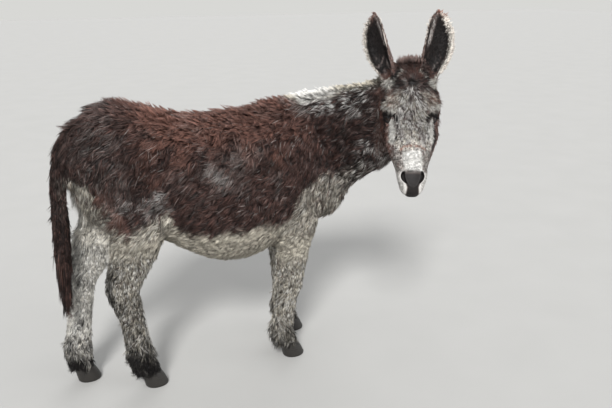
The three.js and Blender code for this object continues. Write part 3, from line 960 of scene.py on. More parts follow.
def markings(points, normals, kind):
    """The masks, one column each, in the order of MASKS."""
    m = no_masks(len(points))
    at = look_at(points, normals, kind)
    for mark in MARKINGS:
        mark(m, at)
    return mask_columns(m)


masks = mask_columns(skin_m)
print("mean masks of the skin", dict(zip(MASKS, masks.mean(axis=0).round(3))))

# %% [markdown]
# ## The lie of the coat
#
# Hair on the trunk lies back and down, on the neck it follows the crest back to the withers, on the legs
# it runs down, and on the face it fans out from a whorl high on the forehead. Hair is often combed by
# hand, stroke by stroke. Here one direction per part is laid along the skin, softened across the borders,
# and given slow swirls, as if combed by the wind, so the same lie comes out on every run.

# %% Directions, part by part


def along_skin(directions, normals):
    return unit(directions - normals * (directions * normals).sum(axis=1, keepdims=True))


heads = in_head(places)
face_x, face_y, face_z = heads.T
body = in_body(places)
x, y, z = body.T
top = np.clip(normals[:, 2], 0, 1)
under = np.clip(-normals[:, 2], 0, 1)
zero = np.zeros(len(places))

to_croup = ramp(x, -0.38, -0.54)
to_chest = ramp(x, 0.26, 0.44)
lie = np.stack([
    -0.9 + 0.65 * to_croup + 0.5 * to_chest,
    np.sign(y) * (0.45 * top - 0.4 * under),
    -0.50 - 0.7 * to_croup - 0.6 * to_chest,
], axis=1)
neck_lie = np.stack([-0.50 + zero, 0.52 + zero, -0.62 + 0.2 * top], axis=1)
lie = np.where((part == "neck")[:, None], neck_lie, lie)
lie = np.where(is_leg[:, None], [-0.22, 0, -1], lie)
lie = np.where(is_tail[:, None], [-0.1, 0, -1], lie)

whorl = heads - [0.070, 0, 0.02]
from_whorl = unit(whorl * [1, 1, 0.3])
face_lie = np.stack([0.85 + zero, 0.35 * np.sign(face_y), -0.35 + zero], axis=1)
on_cheek = (ramp(np.abs(face_y), 0.055, 0.090) * ramp(face_x, 0.33, 0.26))[:, None]
face_lie = face_lie * (1 - on_cheek) + np.array([0.25, 0, -1.0]) * on_cheek
near_whorl = ramp(np.linalg.norm(whorl, axis=1), 0.15, 0.03)[:, None] * (1 - on_cheek)
face_lie = face_lie * (1 - near_whorl) + from_whorl * near_whorl
lie = np.where(is_head[:, None], face_lie @ head_axes.T, lie)
lie = np.where(is_ear[:, None], ear_up + 0.35 * ear_out, lie)
print("directions for", len(lie), "points")

# %% Soften and swirl them
LIE_ROUNDS = 14

lie = along_skin(spread(unit(lie), LIE_ROUNDS), normals)
swirl = 0.34 * ripples(places, 0.11, 21) + 0.22 * ripples(places, 0.05, 22)
swirl *= np.where(is_head | is_ear | is_tail, 0.35, 1.0)
lie = along_skin(lie + np.cross(normals, lie) * swirl[:, None], normals)
print("swirls turn the hair by up to", np.degrees(np.arctan(np.abs(swirl).max())).round(), "degrees")

# %% [markdown]
# ## Length, width and curl of the hair
#
# A donkey's winter coat is longest on the back and the flanks, shorter on the belly, the legs and the jaw,
# and like plush on the muzzle and round the eyes. A tuft stands for many hairs that stick together, so
# long hair also gets wider tufts, that stand higher off the skin. The legs and the hip curl the most.

# %% Length
blunt = ramp(face_x, 0.35, 0.14)
under_jaw = ramp(face_z, -0.08, -0.18) * blunt
leg_length = 0.025 + 0.012 * ramp(z, 0.42, 0.72) + 0.004 * ramp(z, 0.22, 0.16)

hair_length = 0.043 + 0.007 * ramp(z, 0.82, 0.98) - 0.019 * ramp(z, 0.66, 0.60)
hair_length = np.where(part == "neck", 0.040, hair_length)
hair_length = np.where(is_leg, leg_length, hair_length)
hair_length = np.where(is_head, 0.0055 + 0.0155 * blunt + 0.008 * under_jaw, hair_length)
hair_length = np.where(is_ear, 0.010 + 0.010 * rim, hair_length)
hair_length = np.where(is_tail, 0.034, hair_length)
hair_length = spread(hair_length, 10)
hair_length = np.where(near_eyes(heads, 0.030), np.minimum(hair_length, 0.0075), hair_length)
print("hair length from", hair_length.min().round(4), "to", hair_length.max().round(4))

# %% Width, depth and curl
LENGTHS = [0.005, 0.012, 0.025, 0.055, 0.085]
WIDTHS = [0.0013, 0.0019, 0.0023, 0.0031, 0.0036]
DEPTHS = [0.0012, 0.0030, 0.0055, 0.0130, 0.0100]

hair_width = np.interp(hair_length, LENGTHS, WIDTHS)
hair_depth = np.interp(hair_length, LENGTHS, DEPTHS)
hair_depth = np.where(is_tail, 0.004, hair_depth)
thigh_back = ramp(x, -0.47, -0.50) * ramp(z, 0.84, 0.80) * ramp(z, 0.56, 0.62) * (~is_tail)
thigh_extra = (0.008 + 0.007 * (y > 0)) * thigh_back
hair_depth += thigh_extra
hair_length += thigh_extra
hair_depth *= 1 + 0.35 * ramp(z, 0.90, 1.0) * (part == "trunk")
hair_curl = np.where(is_leg, 0.28, 0.24) + 0.12 * spots(body, [(-0.33, -0.2, 0.79)], 0.09)
print("tufts are from", hair_width.min().round(4), "to", hair_width.max().round(4), "wide")

# %% [markdown]
# ## Where the skin is bare
#
# The nose pad, the eye openings and the insides of the nostrils have no hair, or so little that the
# skin's own bump can stand for it.

# %% Bare places
bare = np.zeros(len(places))
for flank in (1, -1):
    from_eye = np.linalg.norm(heads - EYE_SEAT * [1, flank, 1], axis=1)
    bare = np.maximum(bare, ramp(from_eye, 0.0235, 0.0215))
bare = np.maximum(bare, is_head * ramp(nostril_rings(heads), 1.7, 1.3) * ramp(face_x, 0.38, 0.39))
on_pad = ramp(face_x, 0.394, 0.402) * ramp(np.abs(face_y), 0.034, 0.028) * ramp(face_z, -0.085, -0.06)
bare = np.maximum(bare, is_head * on_pad)
bare = np.maximum(bare, is_head * ramp(face_x, 0.45, 0.465))
print("bare points", int((bare > 0.5).sum()))

# %% [markdown]
# How thickly tufts stand depends on how much skin one of them covers. The back, the flanks and the neck
# get more, so that no skin shows between the dark hairs. The legs, the head and the hollows of the ears
# get fewer, and so does the side turned away from the camera.

# %% How many tufts per square metre
COVER = 3.3

tuft_density = COVER / (hair_length * hair_width)
tuft_density *= 1 - bare
thickness = np.where(part == "trunk", 1.75 - 0.85 * ramp(z, 0.68, 0.60), 1.0)
thickness = np.where(part == "neck", 1.35, thickness)
thickness = np.where(is_leg, 0.80, thickness)
thickness = np.where(is_ear, 0.60, thickness)
thickness = np.where(is_head, 0.80, thickness)
tuft_density *= spread(thickness, 4)
tuft_density *= np.where(is_ear & (hollow > 0.5), 0.45, 1.0)
tuft_density *= np.where(is_head & (face_x > 0.30), 0.85, 1.0)
tuft_density *= 1 + 2.5 * is_head * ramp(np.linalg.norm(whorl, axis=1), 0.034, 0.010)
facing_away = ramp(normals @ unit(np.array([0.44, 0.90, 0.0])), 0.0, 0.5)
tuft_density *= 1 - 0.25 * facing_away
print("tufts per square centimetre, median", (np.median(tuft_density) / 1e4).round(1))

# %% [markdown]
# ## Colours as shared node groups
#
# "coat colour" turns the five masks into a colour, with painted shade darker at a hair's root than its tip.
# The skin and every coat piece use the same group, so the markings can't drift apart. "fine hair" makes
# a height of thin strands for the bump of short fur. First come helpers that add one node each.

# %% Node helpers


def srgb(red, green, blue):
    """A colour as a painter's 0-255 values, turned into the light values that shaders use."""
    values = np.array([red, green, blue]) / 255
    light = np.where(values <= 0.04045, values / 12.92, ((values + 0.055) / 1.055) ** 2.4)
    return (*light.tolist(), 1.0)


def new_group(name, inputs, outputs):
    tree = bpy.data.node_groups.new(name, "ShaderNodeTree")
    for label, kind, value in inputs:
        socket = tree.interface.new_socket(label, in_out="INPUT", socket_type=kind)
        socket.default_value = value
    for label, kind in outputs:
        tree.interface.new_socket(label, in_out="OUTPUT", socket_type=kind)
    return tree, tree.nodes.new("NodeGroupInput"), tree.nodes.new("NodeGroupOutput")


def feed(tree, sockets, values):
    """Links each value that is a socket, and sets each that is a constant."""
    for socket, value in zip(sockets, values):
        if isinstance(value, bpy.types.NodeSocket):
            tree.links.new(value, socket)
        else:
            socket.default_value = value


def mix_colour(tree, factor, first, second, blend="MIX"):
    mix = tree.nodes.new("ShaderNodeMix")
    mix.data_type = "RGBA"
    mix.blend_type = blend
    feed(tree, (mix.inputs[0], mix.inputs[6], mix.inputs[7]), (factor, first, second))
    return mix.outputs[2]


def number(tree, operation, *values):
    """One sum on numbers: MULTIPLY takes two values, MULTIPLY_ADD takes three."""
    sum_node = tree.nodes.new("ShaderNodeMath")
    sum_node.operation = operation
    feed(tree, sum_node.inputs, values)
    return sum_node.outputs[0]


def noise(tree, vector, scale, detail=2.0):
    texture = tree.nodes.new("ShaderNodeTexNoise")
    texture.inputs["Scale"].default_value = scale
    texture.inputs["Detail"].default_value = detail
    tree.links.new(vector, texture.inputs["Vector"])
    return texture.outputs["Fac"]


print("white as light is", srgb(255, 255, 255))

# %% [markdown]
# The colours are laid over each other in a fixed order: brown, rust, silver, pale, white and then dark,
# each as strong as its mask. Silver is strongest at the tips, as frosting is. The result gets painted
# shade by how far along the hair a point is, darkest at the root where the hair above would shade it,
# and is varied by a slow mottle and by a tone that each tuft has of its own.

# %% The coat's colour
inputs = [(name.capitalize(), "NodeSocketFloat", 0.0) for name in MASKS]
inputs += [("Tone", "NodeSocketFloat", 0.5), ("Along", "NodeSocketFloat", 0.5)]
inputs += [("Place", "NodeSocketVector", (0, 0, 0))]
coat_group, coat_in, coat_out = new_group("coat colour", inputs, [("Colour", "NodeSocketColor")])
asked = coat_in.outputs

brown = mix_colour(coat_group, asked["Tone"], srgb(28, 20, 18), srgb(120, 89, 81))
rusty = mix_colour(coat_group, asked["Rust"], brown, srgb(152, 108, 94))
to_tip = number(coat_group, "MULTIPLY_ADD", asked["Along"], 1.0, 0.15)
frost = number(coat_group, "MULTIPLY", asked["Silver"], to_tip)
frosted = mix_colour(coat_group, frost, rusty, srgb(212, 206, 201))
paled = mix_colour(coat_group, asked["Pale"], frosted, srgb(240, 232, 214))
whitened = mix_colour(coat_group, asked["White"], paled, srgb(238, 236, 231))
darkened = mix_colour(coat_group, asked["Dark"], whitened, srgb(23, 19, 18))

# Painted shade: darker towards the root of each hair, where the hair above would shade it.
root_shade = number(coat_group, "MULTIPLY_ADD", asked["Along"], 0.86, 0.20)
mottle = number(coat_group, "MULTIPLY_ADD", noise(coat_group, asked["Place"], 60.0), 0.7, 0.62)
tone_shade = number(coat_group, "MULTIPLY_ADD", asked["Tone"], 0.85, 0.48)
shade = number(coat_group, "MULTIPLY", number(coat_group, "MULTIPLY", root_shade, mottle), tone_shade)
shade_colour = coat_group.nodes.new("ShaderNodeCombineColor")
feed(coat_group, shade_colour.inputs, (shade, shade, shade))
shaded = mix_colour(coat_group, 1.0, darkened, shade_colour.outputs[0], "MULTIPLY")
coat_group.links.new(shaded, coat_out.inputs["Colour"])
print("coat colour has", len(coat_group.nodes), "nodes")

# %% Fine hair as a height
hair_group, hair_in, hair_out = new_group(
    "fine hair",
    [("Place", "NodeSocketVector", (0, 0, 0)), ("Fineness", "NodeSocketFloat", 700.0)],
    [("Height", "NodeSocketFloat")],
)
strand_height = noise(hair_group, hair_in.outputs["Place"], 1.0, 3.0)
hair_group.links.new(hair_in.outputs["Fineness"], strand_height.node.inputs["Scale"])
hair_group.links.new(strand_height, hair_out.inputs["Height"])
print("fine hair has", len(hair_group.nodes), "nodes")

# %% [markdown]
# Two materials use the groups. The skin is duller, with a coarser bump for the fur that is too short for
# tufts, and the coat is a little glossier, with a finer one. Real hair shaders are meant for curves; on
# solid tufts a plain surface with a low shine looks right from every side.

# %% Coat materials


def coat_material(name, roughness, bump_distance, fineness):
    """A material that reads the masks kept on the mesh."""
    material = bpy.data.materials.new(name)
    material.use_nodes = True
    tree = material.node_tree
    principled = tree.nodes["Principled BSDF"]
    principled.inputs["Roughness"].default_value = roughness
    principled.inputs["Specular IOR Level"].default_value = 0.30
    colour = tree.nodes.new("ShaderNodeGroup")
    colour.node_tree = coat_group
    for mask in MASKS + ("tone", "along"):
        kept = tree.nodes.new("ShaderNodeAttribute")
        kept.attribute_name = mask
        tree.links.new(kept.outputs["Fac"], colour.inputs[mask.capitalize()])
    place = tree.nodes.new("ShaderNodeTexCoord")
    tree.links.new(place.outputs["Object"], colour.inputs["Place"])
    tree.links.new(colour.outputs["Colour"], principled.inputs["Base Color"])
    strands = tree.nodes.new("ShaderNodeGroup")
    strands.node_tree = hair_group
    strands.inputs["Fineness"].default_value = fineness
    tree.links.new(place.outputs["Object"], strands.inputs["Place"])
    bump = tree.nodes.new("ShaderNodeBump")
    bump.inputs["Distance"].default_value = bump_distance
    bump.inputs["Strength"].default_value = 0.6
    tree.links.new(strands.outputs["Height"], bump.inputs["Height"])
    tree.links.new(bump.outputs["Normal"], principled.inputs["Normal"])
    return material


skin_material = coat_material("skin", 0.62, 0.0012, 420.0)
tuft_material = coat_material("coat", 0.55, 0.0006, 900.0)
print("materials:", skin_material.name, "and", tuft_material.name)

# %% [markdown]
# ## Finish the skin
#
# The skin keeps its masks as numbers on its points. It is shaded as the tip of a hair where the coat is
# short, and as a root where long hair shades it.

# %% Skin object


def keep_masks(mesh, masks, tone, along):
    for column, name in enumerate(MASKS):
        give(mesh, name, masks[:, column])
    give(mesh, "tone", tone)
    give(mesh, "along", along)


# Painted shade: where hair is long, the skin is shaded like the root of a hair.
skin_along = 0.10 + 0.80 * ramp(hair_length, 0.016, 0.006)
skin_tone = np.clip(0.5 + 0.10 * ripples(places, 0.02, 31), 0, 1)
keep_masks(skin_mesh, masks, skin_tone, skin_along)
skin_mesh.shade_smooth()
skin = object_from("skin", skin_mesh, skin_material)
for name in FLESH:
    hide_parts(name)
print("skin replaces", len(FLESH), "solids")

# %% [markdown]
# The skin is then unwrapped, by angle, with no space between the islands. The unwrap is what the coat's
# own map leans on: each tuft's colour sits at the place on the unwrap where the tuft is rooted.

# %% Unwrap it, and read it back as triangles
bpy.context.view_layer.objects.active = skin
skin.select_set(True)
bpy.ops.object.mode_set(mode="EDIT")
bpy.ops.mesh.select_all(action="SELECT")
bpy.ops.uv.smart_project(angle_limit=math.radians(66), island_margin=0.0)
bpy.ops.object.mode_set(mode="OBJECT")
skin.select_set(False)

skin_mesh.calc_loop_triangles()


def per_triangle(property_name):
    numbers = np.empty(3 * len(skin_mesh.loop_triangles), dtype=np.int32)
    skin_mesh.loop_triangles.foreach_get(property_name, numbers)
    return numbers.reshape(-1, 3)


corners = per_triangle("vertices")
corner_loops = per_triangle("loops")
unwrap = np.empty(2 * len(skin_mesh.loops), dtype=np.float32)
skin_mesh.uv_layers.active.data.foreach_get("uv", unwrap)
unwrap = unwrap.reshape(-1, 2)
edge_a = places[corners[:, 1]] - places[corners[:, 0]]
edge_b = places[corners[:, 2]] - places[corners[:, 0]]
areas = 0.5 * np.linalg.norm(np.cross(edge_a, edge_b), axis=1)
print("skin:", len(corners), "triangles,", round(areas.sum(), 2), "square metres")

# %% [markdown]
# ## Roots for the coat
#
# Tufts are rooted all over the skin, as many on each triangle as its area and the wanted density say.
# Drawing them purely at random would leave clumps and gaps. So the count is laid out evenly along one
# long line that passes through all triangles, and only moved a little at random.

# %% Roots spread evenly over the skin


def scatter(weights, count, seed):
    """Roots on the skin, as many per area as the weights say: triangle and place inside it for each."""
    local = np.random.default_rng(seed)
    summed = np.cumsum(areas * weights[corners].mean(axis=1))
    pick = (np.arange(count) + local.random(count)) / count * summed[-1]
    triangle = np.minimum(np.searchsorted(summed, pick), len(summed) - 1)
    a, b = local.random(count), local.random(count)
    flip = a + b > 1
    a, b = np.where(flip, 1 - a, a), np.where(flip, 1 - b, b)
    return triangle, np.stack([1 - a - b, a, b], axis=1)


def at_roots(values, triangle, inside):
    """Values kept per point of the skin, read at the roots."""
    picked = values[corners[triangle]]
    if values.ndim == 1:
        return (picked * inside).sum(axis=1)
    return (picked * inside[..., None]).sum(axis=1)


def map_at_roots(triangle, inside):
    return (unwrap[corner_loops[triangle]] * inside[..., None]).sum(axis=1)


def nearest_of(points, leaders):
    tree = KDTree(len(leaders))
    for index, place in enumerate(leaders):
        tree.insert(place, index)
    tree.balance()
    return np.array([tree.find(p)[1] for p in points])


print("a root on triangle", scatter(tuft_density, 1, 1)[0])

# %% [markdown]
# ## One tuft
#
# Each tuft is a thin closed solid: a three-sided blade that starts as a point just under the skin, rises,
# lies over and ends in a point again. Curves would be lighter, but they are gone as soon as the model
# leaves Blender. All blades of a piece are worked out together, one station along the hair after another.
# A tuft that has a leader bends towards it, more and more to its tip, so that tips gather in locks.

# %% The middle lines of many tufts
ROOT_SINK = 0.0012


def middle_lines(roots, normals, lies, lengths, lifts, curls, steps, local):
    """Where each tuft passes at each step along it: (tuft, step, 3)."""
    count = len(roots)
    across = np.cross(normals, lies)
    bend = local.normal(size=count) * curls
    phase = local.uniform(0, 2 * math.pi, count)
    line = np.empty((count, len(steps), 3))
    for k, s in enumerate(steps):
        climb = lifts * (1 - (1 - s) ** 2) - ROOT_SINK * (s == 0)
        sway = lengths * (bend * s * s + 0.5 * curls * s * np.sin(phase + 5.0 * s))
        line[:, k] = roots + lies * (lengths * s)[:, None] + normals * climb[:, None] + across * sway[:, None]
    return line


def gather(line, leader, clump, steps):
    """Bends each tuft towards the line of its leader."""
    follows = (np.arange(len(line)) != leader)[:, None, None]
    pull = (clump * np.ones(len(line)))[:, None] * steps**1.6
    return line + pull[..., None] * (line[leader] - line) * follows


def blade_faces(rings):
    """The triangles of one blade: a point, rings of three points, and a point."""
    faces = [[0, 1 + (c + 1) % 3, 1 + c] for c in range(3)]
    for k in range(rings - 1):
        for c in range(3):
            a, b = 1 + 3 * k + c, 1 + 3 * k + (c + 1) % 3
            faces += [[a, b, a + 3], [b, b + 3, a + 3]]
    last = 1 + 3 * (rings - 1)
    faces += [[last + c, last + (c + 1) % 3, last + 3] for c in range(3)]
    return np.array(faces)


print("a tuft of one ring has", len(blade_faces(1)), "triangles")

# %% Closed blades around the lines
EDGE_DROP = 0.30
RIDGE_RISE = 0.55


def blades(roots, normals, lies, lengths, widths, lifts, curls, stations, local, clump, leader):
    """Closed pointed blades. Returns points (tuft, point, 3), triangles of one blade, and 0-1 along it."""
    steps = np.linspace(0, 1, stations) ** (1.3 if stations == 3 else 1.0)
    line = middle_lines(roots, normals, lies, lengths, lifts, curls, steps, local)
    line = gather(line, leader, clump, steps)
    forward = unit(np.gradient(line, axis=1))
    sideways = unit(np.cross(normals[:, None, :] + 0 * forward, forward))
    upward = np.cross(forward, sideways)
    fullness = np.interp(steps, [0, 0.30, 0.70, 1], [0.0, 1.0, 0.72, 0.0])
    half = (widths[:, None] * fullness[None, :] / 2)[..., None]

    rings = stations - 2
    points = np.empty((len(roots), 3 * rings + 2, 3))
    points[:, 0] = line[:, 0]
    points[:, 1:-1:3] = (line + sideways * half - upward * EDGE_DROP * half)[:, 1:-1]
    points[:, 2:-1:3] = (line - sideways * half - upward * EDGE_DROP * half)[:, 1:-1]
    points[:, 3:-1:3] = (line + upward * RIDGE_RISE * half)[:, 1:-1]
    points[:, -1] = line[:, -1]

    faces = blade_faces(rings)
    first = points[0][faces] - points[0, 0]
    volume = np.einsum("ij,ij->i", first[:, 0], np.cross(first[:, 1], first[:, 2])).sum()
    if volume < 0:
        faces = faces[:, ::-1]
    along = np.concatenate([[0.0], np.repeat(steps[1:-1], 3), [1.0]])
    return points, faces, along


print("a blade is", round((EDGE_DROP + RIDGE_RISE) / 2, 2), "times as thick as it is wide")

# %% [markdown]
# ## One coat piece
#
# Blades become an object here, with their masks kept on the points and a UV map OFBake. In that map
# every tuft has a small patch at the spot of the skin's unwrap where it is rooted, and the patch runs
# from root to tip. So one small map can hold the colours of the coat, with no unwrap of each blade.

# %% Coat piece
MAP_PATCH = 0.003
MAP_EDGE = 0.0005
tally = {}


def coat_piece(name, points, faces, along, masks, tone, uv, lit_root=0.0):
    """Makes one object from many blades. lit_root, from 0 to 1, is how brightly the roots are lit."""
    count, per = points.shape[:2]
    triangles = (faces[None] + per * np.arange(count)[:, None, None]).reshape(-1, 3)
    mesh = mesh_from(name, points.reshape(-1, 3), triangles)
    repeat = np.repeat(np.arange(count), per)
    along_each = np.tile(along, count)
    along_each += (1 - along_each) * (lit_root * np.ones(count))[repeat]
    keep_masks(mesh, masks[repeat], tone[repeat], along_each)
    layer = mesh.uv_layers.new(name="OFBake")
    across_patch = np.tile([0, 1, 0.5], len(faces))
    along_patch = np.repeat(along[faces].mean(axis=1), 3)
    corner_spot = np.stack([across_patch, along_patch], axis=1)
    uv_all = uv[:, None, :] + (corner_spot[None] - 0.5) * MAP_PATCH
    layer.data.foreach_set("uv", np.clip(uv_all, MAP_EDGE, 1 - MAP_EDGE).astype(np.float32).ravel())
    tally[name] = len(triangles)
    return object_from(name, mesh, tuft_material)


print("map patches are", MAP_PATCH, "across, on a map 1 across")

# %% [markdown]
# ## Grow the coat
#
# First the roots, and everything the skin can tell about them.

# %% Roots of the short coat
TUFTS = 212000
rng = np.random.default_rng(11)

triangle, inside = scatter(tuft_density, TUFTS, 41)
roots = at_roots(places, triangle, inside)
root_normals = unit(at_roots(normals, triangle, inside))
root_lie = along_skin(at_roots(lie, triangle, inside), root_normals)
root_length = at_roots(hair_length, triangle, inside)
root_width = at_roots(hair_width, triangle, inside)
root_depth = at_roots(hair_depth, triangle, inside)
root_curl = at_roots(hair_curl, triangle, inside)
root_kinds = {name: at_roots(values, triangle, inside) for name, values in kinds.items()}
root_uv = map_at_roots(triangle, inside)
root_part = part[corners[triangle, 0]]
body_x, body_y, body_z = in_body(roots).T
print("tufts", TUFTS)

# %% [markdown]
# A real coat isn't even: its hairs gather in locks. So some tufts are leaders, one for each lock, and all
# the others follow the leader next to them. Tone has streaks of its own. They are narrower than a lock
# and run along the lie of the coat, so for them nearness is measured in a space squeezed along the grain.

# %% Locks and streaks
GRAIN = {"trunk": (-0.88, 0, -0.47), "neck": (-0.53, 0.55, -0.64), "leg": (-0.15, 0, -0.99)}
GRAIN_SQUEEZE = 0.68
STREAK_PER_LOCK = 0.62

skin_weight = (areas * tuft_density[corners].mean(axis=1)).sum()
per_metre = at_roots(tuft_density, triangle, inside) / skin_weight * TUFTS
lock_width = np.interp(root_length, [0.006, 0.020, 0.045], [0.0065, 0.0105, 0.0160])
lock_width *= 1 - 0.15 * root_kinds["leg"]
leaders = np.flatnonzero(rng.random(TUFTS) < 1 / (1 + per_metre * lock_width**2))
leader = leaders[nearest_of(roots, roots[leaders])]

grain = sum(root_kinds[name][:, None] * unit(np.array(way)) for name, way in GRAIN.items())
squeezed = roots - GRAIN_SQUEEZE * grain * (roots * grain).sum(axis=1, keepdims=True)
streak_width = STREAK_PER_LOCK * lock_width
streak_heads = np.flatnonzero(rng.random(TUFTS) < 1 / (1 + per_metre * streak_width**2))
band = streak_heads[nearest_of(squeezed, squeezed[streak_heads])]
print("locks", len(leaders), "streaks", len(streak_heads))

# %% [markdown]
# A marking is seen where a hair lies, not where it is rooted, so each tuft asks for its colour half a
# length ahead of its root. A few silver hairs are strewn everywhere. On the face, the neck, the legs, the
# chest and the hind quarters the coat is pepper and salt: some streaks are darker, some nearly white.

# %% Colours of the tufts
SILVER_HAIRS = 0.10

shown_at = roots + root_lie * (0.5 * root_length)[:, None]
root_masks = markings(shown_at, root_normals, root_kinds)
speckle = (rng.random(TUFTS) < SILVER_HAIRS) & (root_kinds["head"] < 0.5) & (root_kinds["tail"] < 0.3)
root_masks[speckle, 1] = np.maximum(root_masks[speckle, 1], 0.24)

on_neck, on_head, on_leg = root_kinds["neck"], root_kinds["head"], root_kinds["leg"]
own_share = np.clip(0.46 - 0.20 * on_neck - 0.18 * on_leg, 0.30, 0.50)
grains = (1 - own_share) * rng.random(TUFTS)[band] + own_share * rng.random(TUFTS)
pepper = ramp(grains, 0.46, 0.30)
salt = ramp(grains, 0.54, 0.72)
light = np.maximum(root_masks[:, 0], root_masks[:, 1])
chest = ramp(body_x, 0.20, 0.28) * ramp(body_z, 0.50, 0.62)
quarters = ramp(body_x, -0.20, -0.28) * ramp(body_z, 0.62, 0.68)
hoary = 1.2 * on_head + 1.2 * on_neck + 0.8 * on_leg + 1.0 * (chest + quarters)
hoary = np.clip(hoary + root_masks[:, 1], 0, 1.2) * (1 - root_masks[:, 4])
grizzled = 1.6 * on_neck + on_head + 2.0 * on_leg
root_masks[:, :2] *= (1 - 0.78 * pepper * hoary)[:, None]
root_masks[:, 3] += (0.28 + 0.15 * grizzled) * pepper * hoary * light
root_masks[:, 4] += (0.55 + 0.25 * grizzled) * salt * hoary * light
root_masks = np.clip(root_masks, 0, 1)
print("mean masks of the tufts", dict(zip(MASKS, root_masks.mean(axis=0).round(3))))

# %% [markdown]
# Nearly half of the tufts are guard hairs: longer, thinner and higher than the woolly ones beneath. A
# lock shares its length, its lift and its lean, and each tuft differs a little from its lock.

# %% Sizes of the tufts
GUARD_SHARE = 0.45
LEAN = 0.20

guard = rng.random(TUFTS) < GUARD_SHARE
lean = rng.normal(size=TUFTS) * LEAN
lock_lean = (rng.normal(size=TUFTS) * LEAN)[leader]
turned = np.cross(root_normals, root_lie) * (lean + lock_lean)[:, None]
root_lie = along_skin(root_lie + turned, root_normals)

lock_length = rng.lognormal(0, 0.22, TUFTS)[leader]
lengths = root_length * lock_length * rng.lognormal(0, 0.12, TUFTS) * np.where(guard, 1.22, 0.85)
lock_lift = rng.lognormal(0, 0.30, TUFTS)[leader]
lifts = root_depth * np.clip(lock_lift * rng.lognormal(0, 0.15, TUFTS), 0.3, 2.1)
lifts *= np.where(guard, 1.12, 0.75)
widths = root_width * rng.uniform(0.75, 1.25, TUFTS) * np.where(guard, 0.72, 1.12)
print("lengths from", lengths.min().round(4), "to", lengths.max().round(4))

# %% [markdown]
# Tone makes a tuft lighter or darker. It comes from the streak and is higher on guard hairs, lower on the
# woolly ones, partly their own colour and partly painted shade under the guard hairs. It is raised where
# hair is nearly white, and raised as painted light where hair is pale on the inner side of the hind legs,
# where the legs shade each other. At the borders of the markings, where a mask is neither 0 nor 1, hairs
# are mixed: each leans to one side or the other.

# %% Tones of the tufts, and mixed hairs at the borders
MIXING = np.array([1.0, 2.2, 1.2, 1.3, 0.4])

streak_tone = rng.random(TUFTS)[band] ** 2
guard_tone = 0.10 + 0.54 * rng.random(TUFTS) ** 1.4
# Woolly tufts get a low tone: partly their own darker colour, partly painted shade under the guard hairs.
woolly_tone = 0.16 * rng.random(TUFTS)
tone = 0.58 * streak_tone + np.where(guard, guard_tone, woolly_tone)
whitened = root_masks[:, 4] * np.minimum(grizzled, 1.3)
tone = np.maximum(tone, 0.60 * whitened * ramp(root_length, 0.008, 0.012))
# Painted light: pale hair on the inner side of the hind legs is brightened, where the legs shade each other.
painted_light_inner_hind = ramp(-root_normals[:, 1] * np.sign(body_y), -0.1, 0.4) * ramp(body_x, -0.20, -0.30)
tone = np.maximum(tone, 1.05 * painted_light_inner_hind * root_masks[:, 0])

own_jitter = rng.random(TUFTS) - 0.5
lock_jitter = rng.random(TUFTS)[leader] - 0.5
jitter = (0.5 * own_jitter + 0.5 * lock_jitter)[:, None]
undecided = root_masks * (1 - root_masks) * 4
root_masks = np.clip(root_masks + jitter * undecided * MIXING, 0, 1)
print("mean tone", tone.mean().round(3))

# %% [markdown]
# Then the blades are made, and dealt out to pieces by where they grow, so that no piece becomes too heavy
# to handle. Short hair, and pale hair with light skin under it, is lit down to its root.

# %% Make the blades
STATIONS = 3

lit_root = 0.75 * ramp(root_length, 0.014, 0.007) + 0.22 * root_masks[:, 0] * ramp(root_length, 0.014, 0.020)
root_clump = 0.58 - 0.22 * (root_kinds["head"] + root_kinds["ear"])
points, faces, along = blades(
    roots, root_normals, root_lie, lengths, widths, lifts, root_curl, STATIONS, rng, root_clump, leader,
)
print("blades of", len(faces), "triangles")

# %% Deal them out
PIECE_LIMIT = 32000

region = np.where(body_z > 0.93, "back", np.where(body_y < 0, "side_right", "side_left"))
region = np.where(root_normals[:, 2] < -0.45, "belly", region)
region = np.where(body_x < -0.36, "rump", region)
region = np.where(root_part == "neck", "neck", region)
region = np.where(np.char.startswith(root_part, "foreleg"), "forelegs", region)
region = np.where(np.char.startswith(root_part, "hindleg"), "hindlegs", region)
region = np.where(np.isin(root_part, ("head", "eye_right", "eye_left")), "head", region)
region = np.where(np.char.startswith(root_part, "ear"), "ears", region)
region = np.where(root_part == "tail", "tail", region)
for name in sorted(set(region)):
    members = np.flatnonzero(region == name)
    members = members[np.argsort(body_x[members])]
    groups = np.array_split(members, math.ceil(len(members) / PIECE_LIMIT))
    for index, group in enumerate(groups):
        label = "coat_" + name + (f"_{index + 1}" if len(groups) > 1 else "")
        coat_piece(
            label, points[group], faces, along,
            root_masks[group], tone[group], root_uv[group], lit_root[group],
        )
print("coat pieces", tally, "together", sum(tally.values()))

# %% [markdown]
# ## Long hair
#
# Some hair is too long for the short blades: the mane along the crest, the forelock, the switch of the
# tail, the fringe on the rims of the ears and the wisps that stand up along the back. These are the same
# blades with more joints. Each kind says where it may grow, which way it aims and, if it must, how its
# colours differ from the coat around it.

# %% One kind of long hair


